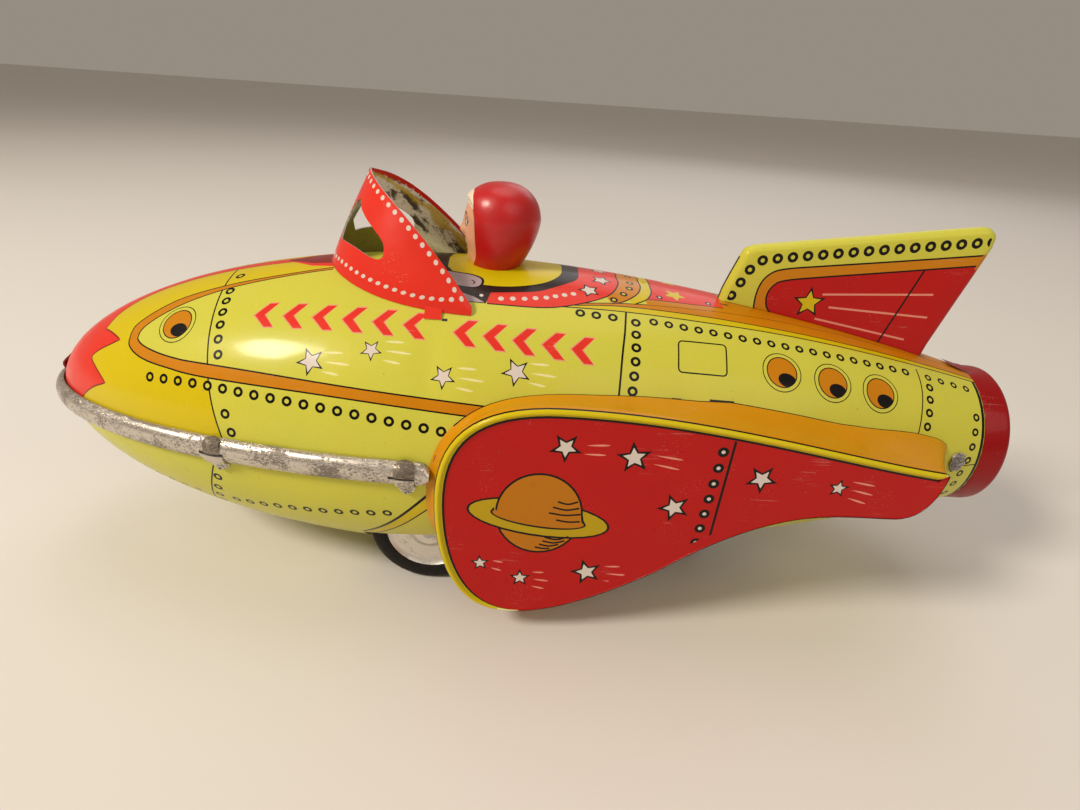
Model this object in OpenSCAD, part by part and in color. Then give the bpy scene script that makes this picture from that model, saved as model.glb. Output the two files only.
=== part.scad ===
// Tin friction-drive space rocket. The nose points to -Y, +Z is up, and +X is the toy's left side.
// The origin is on the floor, under the middle of the toy.

/* [Body] */
// Radius of the body at its widest station
body_r = 28.4; // [27.6:0.2:29]
// Length from the widest station forward to the nose tip
nose_len = 76.7; // [74:0.1:78]
// Length from the widest station back to the end of the tail cone
tail_len = 97.3; // [96:0.1:98]
// Height of the body axis above the floor
axis_h = 32; // [32:0.1:33]
// Thickness of the tinplate
tin = 0.4; // [0.3:0.05:0.5]

/* [Bumper] */
// Height of the half-round bumper channel
bumper_h = 4.4; // [4:0.1:5]
// How far the bumper stands out from the body
bumper_d = 1.55; // [1.4:0.05:1.7]

/* [Wings] */
// Distance from the body axis to the wing face at the middle of the toy
wing_x = 30.3; // [30:0.1:31]
// Angle by which the wing face closes in towards the tail
wing_toe = 1.8; // [1:0.1:2.5]
// Height of the bead pressed round the wing face
wing_bead = 0.6; // [0.4:0.1:0.8]

/* [Fin] */
// Width of the hollow tail fin
fin_w = 3; // [2.4:0.2:4]

/* [Canopy] */
// Height of the canopy apex above the body axis
canopy_z = 43; // [41:0.5:44]

/* [Pilot] */
// Station of the middle of the pilot's head
head_y = -4.5; // [-5:0.1:-4]

/* [Drive wheels] */
// Radius of the drive wheels
wheel_r = 11.4; // [11:0.1:11.5]
// Station of the drive axle
axle_y = -15.2; // [-16:0.1:-15]
// Radius of the axle and of the motor shafts
shaft_r = 1; // [0.8:0.1:1.1]
// Distance from the middle of the toy to the outer face of a wheel
wheel_x = 17.4; // [17:0.1:17.8]
// Width of a tyre
tyre_w = 5; // [4:0.1:5.2]

/* [Rear wheel] */
// Radius of the small rear wheel
rear_r = 6.2; // [5.6:0.1:6.4]
// Station of the rear wheel
rear_y = 36; // [34:0.5:38]

/* [Motor] */
// Tooth size of the gears, as pitch diameter per tooth
gear_module = 0.6; // [0.6:0.01:0.61]
// Teeth on each large gear's pinion
pinion_teeth = 10; // [10:1:10]
// Teeth on the axle gear
axle_teeth = 28; // [28:1:28]
// Teeth on the second large gear
second_teeth = 30; // [30:1:30]
// Radius of the flywheel
flywheel_r = 9.5; // [8:0.1:9.5]
// Distance from the middle of the toy to the inner face of a motor plate
plate_x = 7.6; // [7.4:0.1:7.8]

/* [Hidden] */

// Facets of a full circle; every circle is still an exact arc
round_fn = 64;
// Gap left between touching pieces of sheet metal
seat = 0.05;
// Gap between the body and the bumper channel
bumper_seat = 0.15;
// Radial clearance of a shaft in its hole
run_fit = 0.04;

// Body profile: how blunt the nose is, and how the tail cone tapers
nose_power = 0.54;
tail_taper = 0.525;
tail_power = 1.8;
widest_y = -12;
tail_y = widest_y + tail_len;
nose_y = widest_y - nose_len;

// The cut under the body: its front and rear ends and its height
mouth_y0 = -28;
mouth_y1 = 52;
mouth_z = -18.5;
arch_y = -9;
arch_z = -15.6;

axle_z = wheel_r - axis_h;
rear_z = rear_r - axis_h;

// Gear train: the countershaft stands above and behind the axle, the flywheel behind both
counter_angle = 50;
flywheel_angle = 20;
counter_dist = gear_module * (axle_teeth + pinion_teeth) / 2;
flywheel_dist = gear_module * (second_teeth + pinion_teeth) / 2;
counter_y = axle_y + counter_dist * cos(counter_angle);
counter_z = axle_z + counter_dist * sin(counter_angle);
fly_y = counter_y + flywheel_dist * cos(flywheel_angle);
fly_z = counter_z + flywheel_dist * sin(flywheel_angle);

plate_t = 0.8;
base_top = mouth_z + 0.6;
base_t = 0.5;

// ---------------------------------------------------------------- helpers

// Radius of the body at station y, inside a wall of the given thickness
function body_radius(y, wall = 0) =
    y < widest_y
    ? (body_r - wall) * pow(max(0, 1 - pow((widest_y - y) / (nose_len - wall), 2)), nose_power)
    : body_r - wall - body_r * tail_taper * pow((y - widest_y) / tail_len, tail_power);

// Points [radius, station] along the body from the nose tip to the tail
function profile(wall = 0) = concat(
    [for (a = [90:-6:6]) let (y = widest_y - (nose_len - wall) * sin(a)) [body_radius(y, wall), y]],
    [for (i = [0:12]) let (y = widest_y + tail_len * i / 12) [body_radius(y, wall), y]]
);

function reversed(list) = [for (i = [len(list) - 1:-1:0]) list[i]];

// Height of the body's skin above its axis at (x, y)
function skin_z(x, y, gap = 0) = sqrt(pow(body_radius(y) + gap, 2) - x * x);

function bezier(p, t) =
    pow(1 - t, 3) * p[0] + 3 * t * pow(1 - t, 2) * p[1] + 3 * t * t * (1 - t) * p[2] + pow(t, 3) * p[3];

// Points along a Bezier curve, without its last one
function bezier_run(p, n) = [for (i = [0:n - 1]) bezier(p, i / n)];

function unit(v) = v / norm(v);

// A closed outline moved inwards by d, for points in anticlockwise order
function inset(points, d) = [
    for (i = [0:len(points) - 1])
        let (
            before = points[(i + len(points) - 1) % len(points)],
            after = points[(i + 1) % len(points)],
            along = unit(after - before)
        )
        points[i] + d * [-along[1], along[0]]
];

// Lifts a piece drawn about the body axis to its height above the floor
module placed() {
    translate([0, 0, axis_h]) children();
}

// Turns a shape drawn about Z so that its axis lies along Y
module along_y() {
    rotate([-90, 0, 0]) children();
}

// Extrudes an outline of [y, z] points along X, from x0 to x1
module x_plate(x0, x1) {
    translate([x0, 0, 0]) rotate([90, 0, 90]) linear_extrude(x1 - x0) children();
}

module x_rod(r, x0, x1, y, z) {
    translate([x0, y, z]) rotate([0, 90, 0]) cylinder(r = r, h = x1 - x0, $fn = round_fn);
}

// A profile of [radius, x] points turned about the X axis through (y, z)
module x_turned(points, y, z) {
    translate([0, y, z]) rotate([0, 90, 0]) rotate_extrude($fn = round_fn) polygon(points);
}

// The body as a solid, grown by the given gap
module body_solid(gap) {
    along_y() rotate_extrude($fn = round_fn) polygon(concat(profile(-gap), [[0, tail_y]]));
}

// Half of the body's skin, below the belt seam
module half_shell() {
    along_y() rotate_extrude(angle = 180, $fn = round_fn) polygon(concat(profile(), reversed(profile(tin))));
}

// Skins a grid of points on each side of a sheet: rows of equal length, outer face first
module sheet_solid(outer, inner) {
    rows = len(outer);
    cols = len(outer[0]);
    half = rows * cols;
    points = concat([for (row = outer) for (p = row) p], [for (row = inner) for (p = row) p]);
    function at(i, j) = i * cols + j;
    top = [for (i = [0:rows - 2]) for (j = [0:cols - 2]) [at(i, j), at(i + 1, j), at(i + 1, j + 1), at(i, j + 1)]];
    ends = concat(
        [for (i = [0:rows - 2]) [at(i, 0), at(i, 0) + half, at(i + 1, 0) + half, at(i + 1, 0)]],
        [for (i = [0:rows - 2]) [at(i, cols - 1), at(i + 1, cols - 1), at(i + 1, cols - 1) + half, at(i, cols - 1) + half]],
        [for (j = [0:cols - 2]) [at(0, j), at(0, j + 1), at(0, j + 1) + half, at(0, j) + half]],
        [for (j = [0:cols - 2]) [at(rows - 1, j), at(rows - 1, j) + half, at(rows - 1, j + 1) + half, at(rows - 1, j + 1)]]
    );
    bottom = [for (f = top) [f[3] + half, f[2] + half, f[1] + half, f[0] + half]];
    quads = concat(top, ends, bottom);
    polyhedron(points, [for (f = quads) for (k = [1, 2]) [f[0], f[k + 1], f[k]]]);
}

// ---------------------------------------------------------------- casing

// Upper pressing, with the tab that folds down over the nose
module upper_shell() {
    color("yellowgreen") placed() {
        mirror([0, 0, 1]) half_shell();
        translate([0, nose_y + 0.35, 4.1]) rotate([-24, 0, 0]) cube([4.6, 0.8, 3.4], center = true);
    }
}

// Lower pressing, open underneath for the wheels, with the bright lugs that close the seam at the tail
module lower_shell() {
    lug_y = 80.2;
    color("yellowgreen") placed() {
        difference() {
            half_shell();
            x_plate(-40, 40) polygon([
                [mouth_y0, -40], [mouth_y0 + 1.5, mouth_z - 0.1], [arch_y, arch_z], [2, mouth_z],
                [mouth_y1, mouth_z], [mouth_y1 + 1.5, -40]
            ]);
        }
        for (side = [-1, 1])
            translate([side * (body_radius(lug_y) + 0.35), lug_y, 0])
                rotate([0, 0, side * 18])
                    cube([0.5, 3, 4.2], center = true);
    }
}

// Flat tin floor inside the mouth of the lower pressing. It carries the motor and the rear fork.
module base_plate() {
    gap = 0.1;
    stations = [for (i = [0:15]) -35 + 6 * i];
    edge = [for (y = stations) [sqrt(pow(body_radius(y, tin), 2) - pow(mouth_z + 0.1, 2)) - gap, y]];
    bay_y0 = axle_y - wheel_r - 1;
    bay_y1 = axle_y + wheel_r + 1;
    color("silver") placed() difference() {
        translate([0, 0, base_top - base_t]) linear_extrude(base_t)
            polygon(concat(edge, reversed([for (p = edge) [-p[0], p[1]]])));
        // bays for the wheels, and the slot that the motor hangs through
        for (side = [-1, 1])
            translate([side * 21.4 - 10, bay_y0, base_top - 2]) cube([20, bay_y1 - bay_y0, 4]);
        translate([-9.3, -28, base_top - 2]) cube([18.6, 30, 4]);
    }
}

// Half-round channel that closes the belt seam round the nose, with folded tabs through its slots
module nose_bumper() {
    lip = 0.4;
    turn = 89.7;
    steps = 24;
    // stations from the rear end of one side, round the nose, to the other
    angles = [for (i = [-steps:steps]) sign(i) * turn * (1 - pow(1 - abs(i) / steps, 1.2))];
    function rim(a) = [
        sign(a) * body_radius(widest_y - nose_len * cos(a)),
        widest_y - nose_len * cos(a)
    ];
    function section(depth, height, a) = [depth * cos(a), height * sin(a)];
    function ring(depth, height) = [
        for (i = [0:len(angles) - 1])
            let (
                here = rim(angles[i]),
                along = unit(rim(min(turn, angles[i] + 0.5)) - rim(max(-turn, angles[i] - 0.5))),
                out = [along[1], -along[0]]
            )
            [for (a = [-90:22.5:90])
                let (s = section(depth, height, a), p = here + (bumper_seat + s[0]) * out)
                [p[0], p[1], s[1]]]
    ];
    color("silver") placed() {
        sheet_solid(ring(bumper_d, bumper_h / 2), ring(bumper_d - lip, bumper_h / 2 - lip));
        for (side = [-1, 1]) for (y = [-48.5, -16.8]) for (up = [-1, 1])
            translate([side * (body_radius(y) + 0.5), y, up * (bumper_h / 2 + 1.35)])
                rotate([0, 0, side * (y < -40 ? -12 : -2)])
                    cube([0.5, 3.6, 2.6], center = true);
    }
}

// Canopy: a hood whose base follows the body and whose rear is open, with a window in each side
module canopy() {
    rear_edge = [[0, -27.4, canopy_z], [11.5, -24, canopy_z - 1.8], [11, -17.5, canopy_z - 6], [15.8, -7.5, 24]];
    base_plan = [[0, -34.6], [7.5, -34.6], [15.5, -30], [16.5, -7.5]];
    rows = 14;
    cols = 5;
    function half_point(t, s) =
        let (b = bezier(base_plan, t), low = [b[0], b[1], skin_z(b[0], b[1], 0.1)])
        low + s * (bezier(rear_edge, t) - low);
    function point(t, s) = let (p = half_point(abs(t), s)) [sign(t) * p[0], p[1], p[2]];
    function out(t, s) = unit(cross(point(t + 0.01, s) - point(t - 0.01, s), point(t, s + 0.01) - point(t, s - 0.01)));
    // the base edge stays above the body's skin on both faces of the sheet
    function lifted(p) = [p[0], p[1], max(p[2], skin_z(p[0], p[1], 0.1))];
    function face(depth) = [
        for (i = [-rows:rows]) let (t = i / rows * 0.985)
            [for (j = [0:cols]) lifted(point(t, j / cols) - depth * out(t, j / cols))]
    ];
    window = [
        [-28.2, 38], [-29.5, 35.9], [-31, 33.4], [-31.2, 30.9], [-27.6, 30.6], [-24.4, 30.2],
        [-23, 31.2], [-23, 32.9], [-24, 34.2], [-25.4, 35.6], [-26.8, 37.2]
    ];
    color("red") placed() difference() {
        sheet_solid(face(0), face(tin));
        x_plate(2.6, 20) polygon(window);
        x_plate(-20, -2.6) polygon(window);
    }
}

// The pilot's head, cut to sit on the body
module pilot_head() {
    bulb = [
        [0, 26], [4.8, 26], [4.9, 28], [5.4, 29.5], [6.1, 32], [6.6, 34.4], [6.7, 36.4],
        [6.3, 38.6], [5.2, 40.4], [3.3, 41.6], [0, 42]
    ];
    color("red") placed() difference() {
        translate([0, head_y, 0]) rotate_extrude($fn = round_fn) polygon(bulb);
        body_solid(seat);
    }
}

// Hollow tail fin, folded from one sheet and open where it stands on the body
module tail_fin() {
    outline = [
        [75.2, 12], [78.3, 25], [82.3, 36.6], [82.2, 38.6], [80.6, 39.9], [78.6, 39.8],
        [40.6, 34.2], [39.2, 33.6], [38.6, 32.4], [35.2, 23.6], [33, 18]
    ];
    low = [[70, 10], [38, 16]];
    hollow = inset(outline, tin);
    color("yellow") placed() difference() {
        x_plate(-fin_w / 2, fin_w / 2) polygon(outline);
        x_plate(-fin_w / 2 + tin, fin_w / 2 - tin)
            polygon([for (i = [0:len(hollow) - 1])
                i == 0 ? low[0] + [5, -6] : i == len(hollow) - 1 ? low[1] + [-5, -6] : hollow[i]]);
        body_solid(seat);
    }
}

// Outline of the wing pan in its own plane, as [y, z] points
function wing_outline() = concat(
    bezier_run([[8, 13.8], [-3.5, 13.8], [-11.4, 6.5], [-11.4, -4]], 10),
    bezier_run([[-11.4, -4], [-11.4, -15], [-9, -27], [-1, -27]], 10),
    bezier_run([[-1, -27], [6, -27], [16, -20.5], [26, -14]], 8),
    bezier_run([[26, -14], [36, -7.6], [43, -3.2], [54, -2]], 8),
    bezier_run([[54, -2], [58, -1.6], [61, -1.8], [65, -1.4]], 2),
    bezier_run([[65, -1.4], [68, -1], [70, 1], [70, 3.4]], 4),
    bezier_run([[70, 3.4], [70, 4.6], [69.4, 5.2], [68, 5.4]], 3),
    bezier_run([[68, 5.4], [52, 7.2], [26, 13.8], [8, 13.8]], 12)
);

// Stamped wing pan: a flat face with a bead round it and a flange that runs in to the body
module wing_pan() {
    outline = wing_outline();
    difference() {
        translate([0, -wing_x * sin(wing_toe), 0]) rotate([0, 0, wing_toe]) difference() {
            x_plate(14, wing_x + wing_bead) polygon(outline);
            x_plate(10, wing_x - tin) polygon(inset(outline, tin));
            x_plate(wing_x, wing_x + wing_bead + 1) polygon(inset(outline, 1.6));
        }
        body_solid(seat);
        // the flange stops short of the drive wheel
        translate([0, -40, -60]) cube([21.5, 80, 60 + mouth_z + 4]);
    }
}

module wing_left() {
    color("red") placed() wing_pan();
}

module wing_right() {
    color("red") placed() mirror([1, 0, 0]) wing_pan();
}

// Tail ring: a band with a rolled rear rim and a spigot inside the tail cone
module tail_ring() {
    rim_y = bumper_d + bumper_seat - nose_y;
    band_y = tail_y + 0.3;
    band_r = body_radius(tail_y) - 0.1;
    spigot_r = body_radius(tail_y) - tin - seat;
    color("red") placed() along_y() rotate_extrude($fn = round_fn) polygon(concat(
        [[spigot_r, tail_y - 5], [spigot_r, band_y], [band_r, band_y], [band_r, rim_y - 0.6]],
        [for (a = [30:30:90]) [band_r - 0.6 + 0.6 * cos(a), rim_y - 0.6 + 0.6 * sin(a)]],
        [[band_r - 1.2, rim_y], [band_r - 1.4, rim_y - 0.6], [band_r - tin, rim_y - 1.2],
         [band_r - tin, band_y + tin], [spigot_r - tin, band_y], [spigot_r - tin, tail_y - 5]]
    ));
}

// Dished disc inside the tail ring, pressed as a rocket nozzle
module nozzle_disc() {
    r = body_radius(tail_y) - 2 * tin - 3 * seat;
    color("silver") placed() along_y() rotate_extrude($fn = round_fn) polygon([
        [0, 82.6], [4.2, 82.6], [5.2, 84.6], [7.4, 84.6], [8.4, 82.8], [r, 82.8], [r, 85],
        [r - tin, 85], [r - tin, 83.2], [8.7, 83.2], [7.7, 85], [4.9, 85], [3.9, 83], [0, 83]
    ]);
}

// ---------------------------------------------------------------- motor frame

// Side plate with a foot at each end, a seat for the axle bush and two pivot holes
module motor_plate() {
    foot_t = 0.6;
    foot_z = base_top;
    color("silver") placed() {
        difference() {
            x_plate(plate_x, plate_x + plate_t) polygon([
                [-34, foot_z], [-34, -11], [-25, 5], [15, 5], [17, 3], [17, foot_z], [-7.4, foot_z],
                [-11, axle_z - 3.4], [-19.4, axle_z - 3.4], [-23, foot_z]
            ]);
            x_rod(2, plate_x - 1, plate_x + 2, axle_y, axle_z);
            x_rod(shaft_r + run_fit, plate_x - 1, plate_x + 2, counter_y, counter_z);
            x_rod(shaft_r + run_fit, plate_x - 1, plate_x + 2, fly_y, fly_z);
        }
        for (y = [-34, 9])
            translate([plate_x + plate_t - seat, y, foot_z]) cube([3.6, y < 0 ? 5 : 8, foot_t]);
    }
}

module motor_plate_left() {
    motor_plate();
}

module motor_plate_right() {
    mirror([1, 0, 0]) motor_plate();
}

// Riveted pillars that hold the motor plates apart
module motor_pillars() {
    color("silver") placed()
        for (p = [[-29, -14], [-20, 1.5], [12.5, 1.8], [14, -15]])
            x_rod(1.5, -plate_x, plate_x, p[0], p[1]);
}

// Flanged brass bush in the motor plate
module axle_bush(side) {
    bore = shaft_r + run_fit;
    color("goldenrod") placed() x_turned([
        [bore, side * (plate_x - 0.4)], [2, side * (plate_x - 0.4)], [2, side * (plate_x + plate_t)],
        [2.9, side * (plate_x + plate_t)], [2.9, side * (plate_x + plate_t + 0.7)], [bore, side * (plate_x + plate_t + 0.7)]
    ], axle_y, axle_z);
}

module axle_bush_left() {
    axle_bush(1);
}

module axle_bush_right() {
    axle_bush(-1);
}

// Bent tin fork under the base plate, which holds the rear wheel
module rear_fork() {
    leg_x = 3.8;
    leg_t = 0.6;
    top = base_top - base_t;
    color("silver") placed() {
        translate([-leg_x - leg_t, rear_y - 4, top - leg_t]) cube([2 * (leg_x + leg_t), 8, leg_t]);
        for (side = [-1, 1])
            difference() {
                x_plate(min(side * leg_x, side * (leg_x + leg_t)), max(side * leg_x, side * (leg_x + leg_t)))
                    polygon([[rear_y - 4, top], [rear_y - 2, rear_z - 2], [rear_y + 2, rear_z - 2], [rear_y + 4, top]]);
                x_rod(shaft_r, -6, 6, rear_y, rear_z);
            }
    }
}

module rear_pin() {
    color("silver") placed() {
        x_rod(shaft_r, -4.7, 4.7, rear_y, rear_z);
        for (x = [-5.3, 4.6]) x_rod(1.7, x, x + 0.7, rear_y, rear_z);
    }
}

// ---------------------------------------------------------------- drive

// Spur gear about the X axis, one tooth centred on the angle phase (from +Y towards +Z)
module gear(teeth, x0, x1, phase, y, z) {
    pressure = 25;
    backlash = 0.06;
    pitch_r = gear_module * teeth / 2;
    base_r = pitch_r * cos(pressure);
    tip_r = pitch_r + 0.8 * gear_module;
    root_r = pitch_r - gear_module;
    // half the angle of a tooth at radius r, from the involute
    function inv(a) = tan(a) * 180 / PI - a;
    function half_angle(r) =
        90 / teeth - backlash / pitch_r * 180 / PI / 2 + inv(pressure) - inv(acos(min(1, base_r / r)));
    start_r = max(base_r, root_r);
    radii = [for (i = [0:4]) start_r + (tip_r - start_r) * i / 4];
    tooth = concat(
        [[root_r, -half_angle(start_r)]],
        [for (r = radii) [r, -half_angle(r)]],
        [for (r = reversed(radii)) [r, half_angle(r)]],
        [[root_r, half_angle(start_r)]]
    );
    flanks = root_r < base_r ? tooth : [for (i = [1:len(tooth) - 2]) tooth[i]];
    translate([0, y, z]) difference() {
        x_plate(x0, x1) polygon([
            for (i = [0:teeth - 1]) for (p = flanks)
                let (a = phase + 360 * i / teeth + p[1])
                [p[0] * cos(a), p[0] * sin(a)]
        ]);
        x_rod(shaft_r, x0 - 1, x1 + 1, 0, 0);
    }
}

module drive_axle() {
    color("silver") placed() x_rod(shaft_r, -wheel_x - 0.4, wheel_x + 0.4, axle_y, axle_z);
}

module axle_gear() {
    color("goldenrod") placed() gear(axle_teeth, 2.8, 4.6, counter_angle, axle_y, axle_z);
}

// Outer tin disc of a drive wheel: a dished face and the rim that the tyre sits on
module wheel_face(side) {
    rim_r = wheel_r - 2.6;
    x0 = wheel_x - tyre_w;
    color("silver") placed() x_turned([for (p = [
        [shaft_r, wheel_x - 0.5], [3, wheel_x - 0.5], [4, wheel_x - 1.2], [7.4, wheel_x - 1.2], [8.4, wheel_x - 0.3],
        [rim_r + 0.6, wheel_x - 0.3], [rim_r + 0.6, wheel_x + 0.1], [8.2, wheel_x + 0.1], [7.2, wheel_x - 0.8],
        [4.2, wheel_x - 0.8], [3.2, wheel_x - 0.1], [shaft_r, wheel_x - 0.1]
    ]) [p[0], side * p[1]]], axle_y, axle_z);
    color("silver") placed() x_turned([for (p = [
        [rim_r - tin, x0 + 0.6], [rim_r, x0 + 0.6], [rim_r, wheel_x - 0.3], [rim_r - tin, wheel_x - 0.3]
    ]) [p[0], side * p[1]]], axle_y, axle_z);
}

module wheel_face_left() {
    wheel_face(1);
}

module wheel_face_right() {
    wheel_face(-1);
}

// Inner tin disc of a drive wheel
module wheel_back(side) {
    rim_r = wheel_r - 2.6;
    x0 = wheel_x - tyre_w;
    color("silver") placed() x_turned([for (p = [
        [shaft_r, x0 + 0.6], [3, x0 + 0.6], [4, x0 + 0.2], [rim_r + 0.6, x0 + 0.2],
        [rim_r + 0.6, x0 - 0.2], [3.8, x0 - 0.2], [2.8, x0 + 0.2], [shaft_r, x0 + 0.2]
    ]) [p[0], side * p[1]]], axle_y, axle_z);
}

module wheel_back_left() {
    wheel_back(1);
}

module wheel_back_right() {
    wheel_back(-1);
}

// Rubber tyre with rounded shoulders
module tyre(side) {
    seat_r = wheel_r - 2.6;
    x0 = wheel_x - tyre_w + 0.2;
    x1 = wheel_x - 0.3;
    shoulder = 0.9;
    color("black") placed() x_turned([for (p = concat(
        [[seat_r, x0], [seat_r, x1]],
        [for (a = [0:30:90]) [wheel_r - shoulder + shoulder * sin(a), x1 - shoulder + shoulder * cos(a)]],
        [for (a = [0:30:90]) [wheel_r - shoulder + shoulder * cos(a), x0 + shoulder - shoulder * sin(a)]]
    )) [p[0], side * p[1]]], axle_y, axle_z);
}

module tyre_left() {
    tyre(1);
}

module tyre_right() {
    tyre(-1);
}

module countershaft() {
    color("silver") placed() x_rod(shaft_r, -9.4, 9.4, counter_y, counter_z);
}

module counter_pinion() {
    color("silver") placed()
        gear(pinion_teeth, 2.2, 5.2, counter_angle + 180 + 180 / pinion_teeth, counter_y, counter_z);
}

module counter_gear() {
    color("goldenrod") placed() gear(second_teeth, -1, 1, flywheel_angle, counter_y, counter_z);
}

module flywheel_shaft() {
    color("silver") placed() x_rod(shaft_r, -9.4, 9.4, fly_y, fly_z);
}

module flywheel_pinion() {
    color("silver") placed()
        gear(pinion_teeth, -1.6, 1.6, flywheel_angle + 180 + 180 / pinion_teeth, fly_y, fly_z);
}

// Heavy steel flywheel, thicker at its rim
module flywheel() {
    color("gray") placed() x_turned([
        [shaft_r, -6.8], [3, -6.8], [4, -6], [6.6, -6], [7, -7], [flywheel_r, -7],
        [flywheel_r, -2.6], [7, -2.6], [6.6, -3.6], [4, -3.6], [3, -2.4], [shaft_r, -2.4]
    ], fly_y, fly_z);
}

module rear_hub() {
    color("silver") placed() x_turned([
        [shaft_r + run_fit, -3.2], [2.2, -3.2], [2.2, -2.6], [rear_r - 1.8, -2.6],
        [rear_r - 1.8, 2.6], [2.2, 2.6], [2.2, 3.2], [shaft_r + run_fit, 3.2]
    ], rear_y, rear_z);
}

module rear_tyre() {
    seat_r = rear_r - 1.8;
    color("black") placed() x_turned([
        [seat_r, -2.8], [rear_r - 0.6, -2.8], [rear_r, -2.2], [rear_r, 2.2], [rear_r - 0.6, 2.8], [seat_r, 2.8]
    ], rear_y, rear_z);
}

upper_shell();
lower_shell();
base_plate();
nose_bumper();
canopy();
pilot_head();
tail_fin();
wing_left();
wing_right();
tail_ring();
nozzle_disc();
motor_plate_left();
motor_plate_right();
motor_pillars();
axle_bush_left();
axle_bush_right();
rear_fork();
rear_pin();
drive_axle();
axle_gear();
wheel_face_left();
wheel_face_right();
wheel_back_left();
wheel_back_right();
tyre_left();
tyre_right();
countershaft();
counter_pinion();
counter_gear();
flywheel_shaft();
flywheel_pinion();
flywheel();
rear_hub();
rear_tyre();
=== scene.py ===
"""Looks of the tin friction-drive space rocket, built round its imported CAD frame.

Lengths are millimetres about the body axis: x to the toy's left, y to the tail, z up. They become metres in
the row frame when a mesh is made. The printed artwork is geometry: each pressing is triangulated flat, with
the edges of its inks as edges of the mesh, then bent onto the pressing's surface.
"""

import math

import bpy
import numpy as np
from mathutils import Matrix, Vector
from mathutils.geometry import delaunay_2d_cdt


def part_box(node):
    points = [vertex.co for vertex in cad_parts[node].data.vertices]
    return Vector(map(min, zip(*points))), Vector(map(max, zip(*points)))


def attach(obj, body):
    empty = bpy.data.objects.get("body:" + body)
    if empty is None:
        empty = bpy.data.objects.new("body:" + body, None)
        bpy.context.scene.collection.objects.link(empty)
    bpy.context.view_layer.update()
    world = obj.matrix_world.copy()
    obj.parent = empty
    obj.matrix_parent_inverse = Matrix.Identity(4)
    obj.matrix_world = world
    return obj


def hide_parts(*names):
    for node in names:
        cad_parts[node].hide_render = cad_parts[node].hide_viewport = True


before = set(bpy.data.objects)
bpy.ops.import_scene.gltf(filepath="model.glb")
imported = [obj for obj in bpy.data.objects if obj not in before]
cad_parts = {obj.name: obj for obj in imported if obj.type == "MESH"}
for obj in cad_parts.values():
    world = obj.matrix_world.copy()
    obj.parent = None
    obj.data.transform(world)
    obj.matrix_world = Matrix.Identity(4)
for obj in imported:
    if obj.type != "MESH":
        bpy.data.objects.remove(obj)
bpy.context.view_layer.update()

MM = 0.001
TIN = 0.4  # thickness of the sheet
SKIN_GAP = 0.05  # between the skin and the edge of a piece that stands on it


# ---------------------------------------------------------------- the frame's driving dimensions


def mm_box(node):
    low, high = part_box(node)
    return np.array(low) / MM, np.array(high) / MM


ring_low, ring_high = mm_box("tail_ring")
AXIS_Z = (ring_low[2] + ring_high[2]) / 2
BODY_R = mm_box("upper_shell")[1][0]
NOSE_Y = mm_box("lower_shell")[0][1]
TAIL_Y = mm_box("lower_shell")[1][1]
RING_Y = ring_high[1]
RING_R = ring_high[0]
WIDEST_Y = -12.0
END_LINE_Y = 84.9  # the broad dark line round the end of the body: a printed line, widened as painted shadow of the gap before the tail ring
NOSE_LEN = WIDEST_Y - NOSE_Y
TAIL_LEN = TAIL_Y - WIDEST_Y
FIN_HALF = mm_box("tail_fin")[1][0]
CANOPY_TOP = mm_box("canopy")[1][2] - AXIS_Z
WHEEL_LOW, WHEEL_HIGH = mm_box("tyre_left")
WHEEL_R = (WHEEL_HIGH[2] - WHEEL_LOW[2]) / 2
AXLE_Y = (WHEEL_HIGH[1] + WHEEL_LOW[1]) / 2
AXLE_Z = (WHEEL_HIGH[2] + WHEEL_LOW[2]) / 2 - AXIS_Z
WHEEL_X = WHEEL_HIGH[0] + 0.05
RUBBER_DEPTH = 2.6  # from the tread down to the wheel disc

# Powers of the nose's and the tail's outlines, and the share of its radius that the body loses by the tail
NOSE_POWER, TAIL_POWER, TAIL_TAPER = 0.54, 1.8, 0.525


def body_radius(y):
    y = np.asarray(y, float)
    ahead = np.clip((WIDEST_Y - y) / NOSE_LEN, 0, 1)
    behind = np.clip((y - WIDEST_Y) / TAIL_LEN, 0, 1.2)
    nose = BODY_R * (1 - ahead**2) ** NOSE_POWER
    return np.where(y < WIDEST_Y, nose, BODY_R * (1 - TAIL_TAPER * behind**TAIL_POWER))


# Distance along the skin from the nose tip, for stations from the nose to the tail
_stations = np.concatenate([
    WIDEST_Y - NOSE_LEN * np.sin(np.linspace(math.pi / 2, 0, 400)),
    np.linspace(WIDEST_Y, TAIL_Y, 200)[1:],
])
_along = np.concatenate([[0], np.cumsum(np.hypot(np.diff(_stations), np.diff(body_radius(_stations))))])


def along(y):
    return np.interp(y, _stations, _along)


def station(u):
    return np.interp(u, _along, _stations)


# ---------------------------------------------------------------- colours and materials

INKS = {
    "lime": (201, 198, 72),
    "yellow": (205, 184, 8),
    "orange": (197, 124, 4),
    "amber": (203, 139, 6),
    "red": (181, 12, 8),
    "scarlet": (219, 50, 36),
    # the tail ring's and nozzle's red: partly the ring's own deeper red and partly painted shade, darker than
    # the wings' red
    "ring_red": (142, 6, 10),
    "black": (9, 5, 5),
    "white": (214, 203, 196),
    "pale": (226, 222, 160),
    "pink": (222, 142, 124),
    "lilac": (170, 152, 160),
    "brown": (38, 24, 21),
    # dark red: the flame's outline and the lips; on the nose tab it stands for red in painted shade
    "dark_red": (128, 26, 20),
    "planet": (184, 113, 4),
    "planet_ring": (182, 154, 8),
    "flesh": (238, 172, 136),
    "helmet": (192, 8, 13),
    "cream": (240, 222, 196),
}


def linear(rgb):
    return tuple(((c / 255 + 0.055) / 1.055) ** 2.4 if c > 10 else c / 3295 for c in rgb) + (1.0,)


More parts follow.
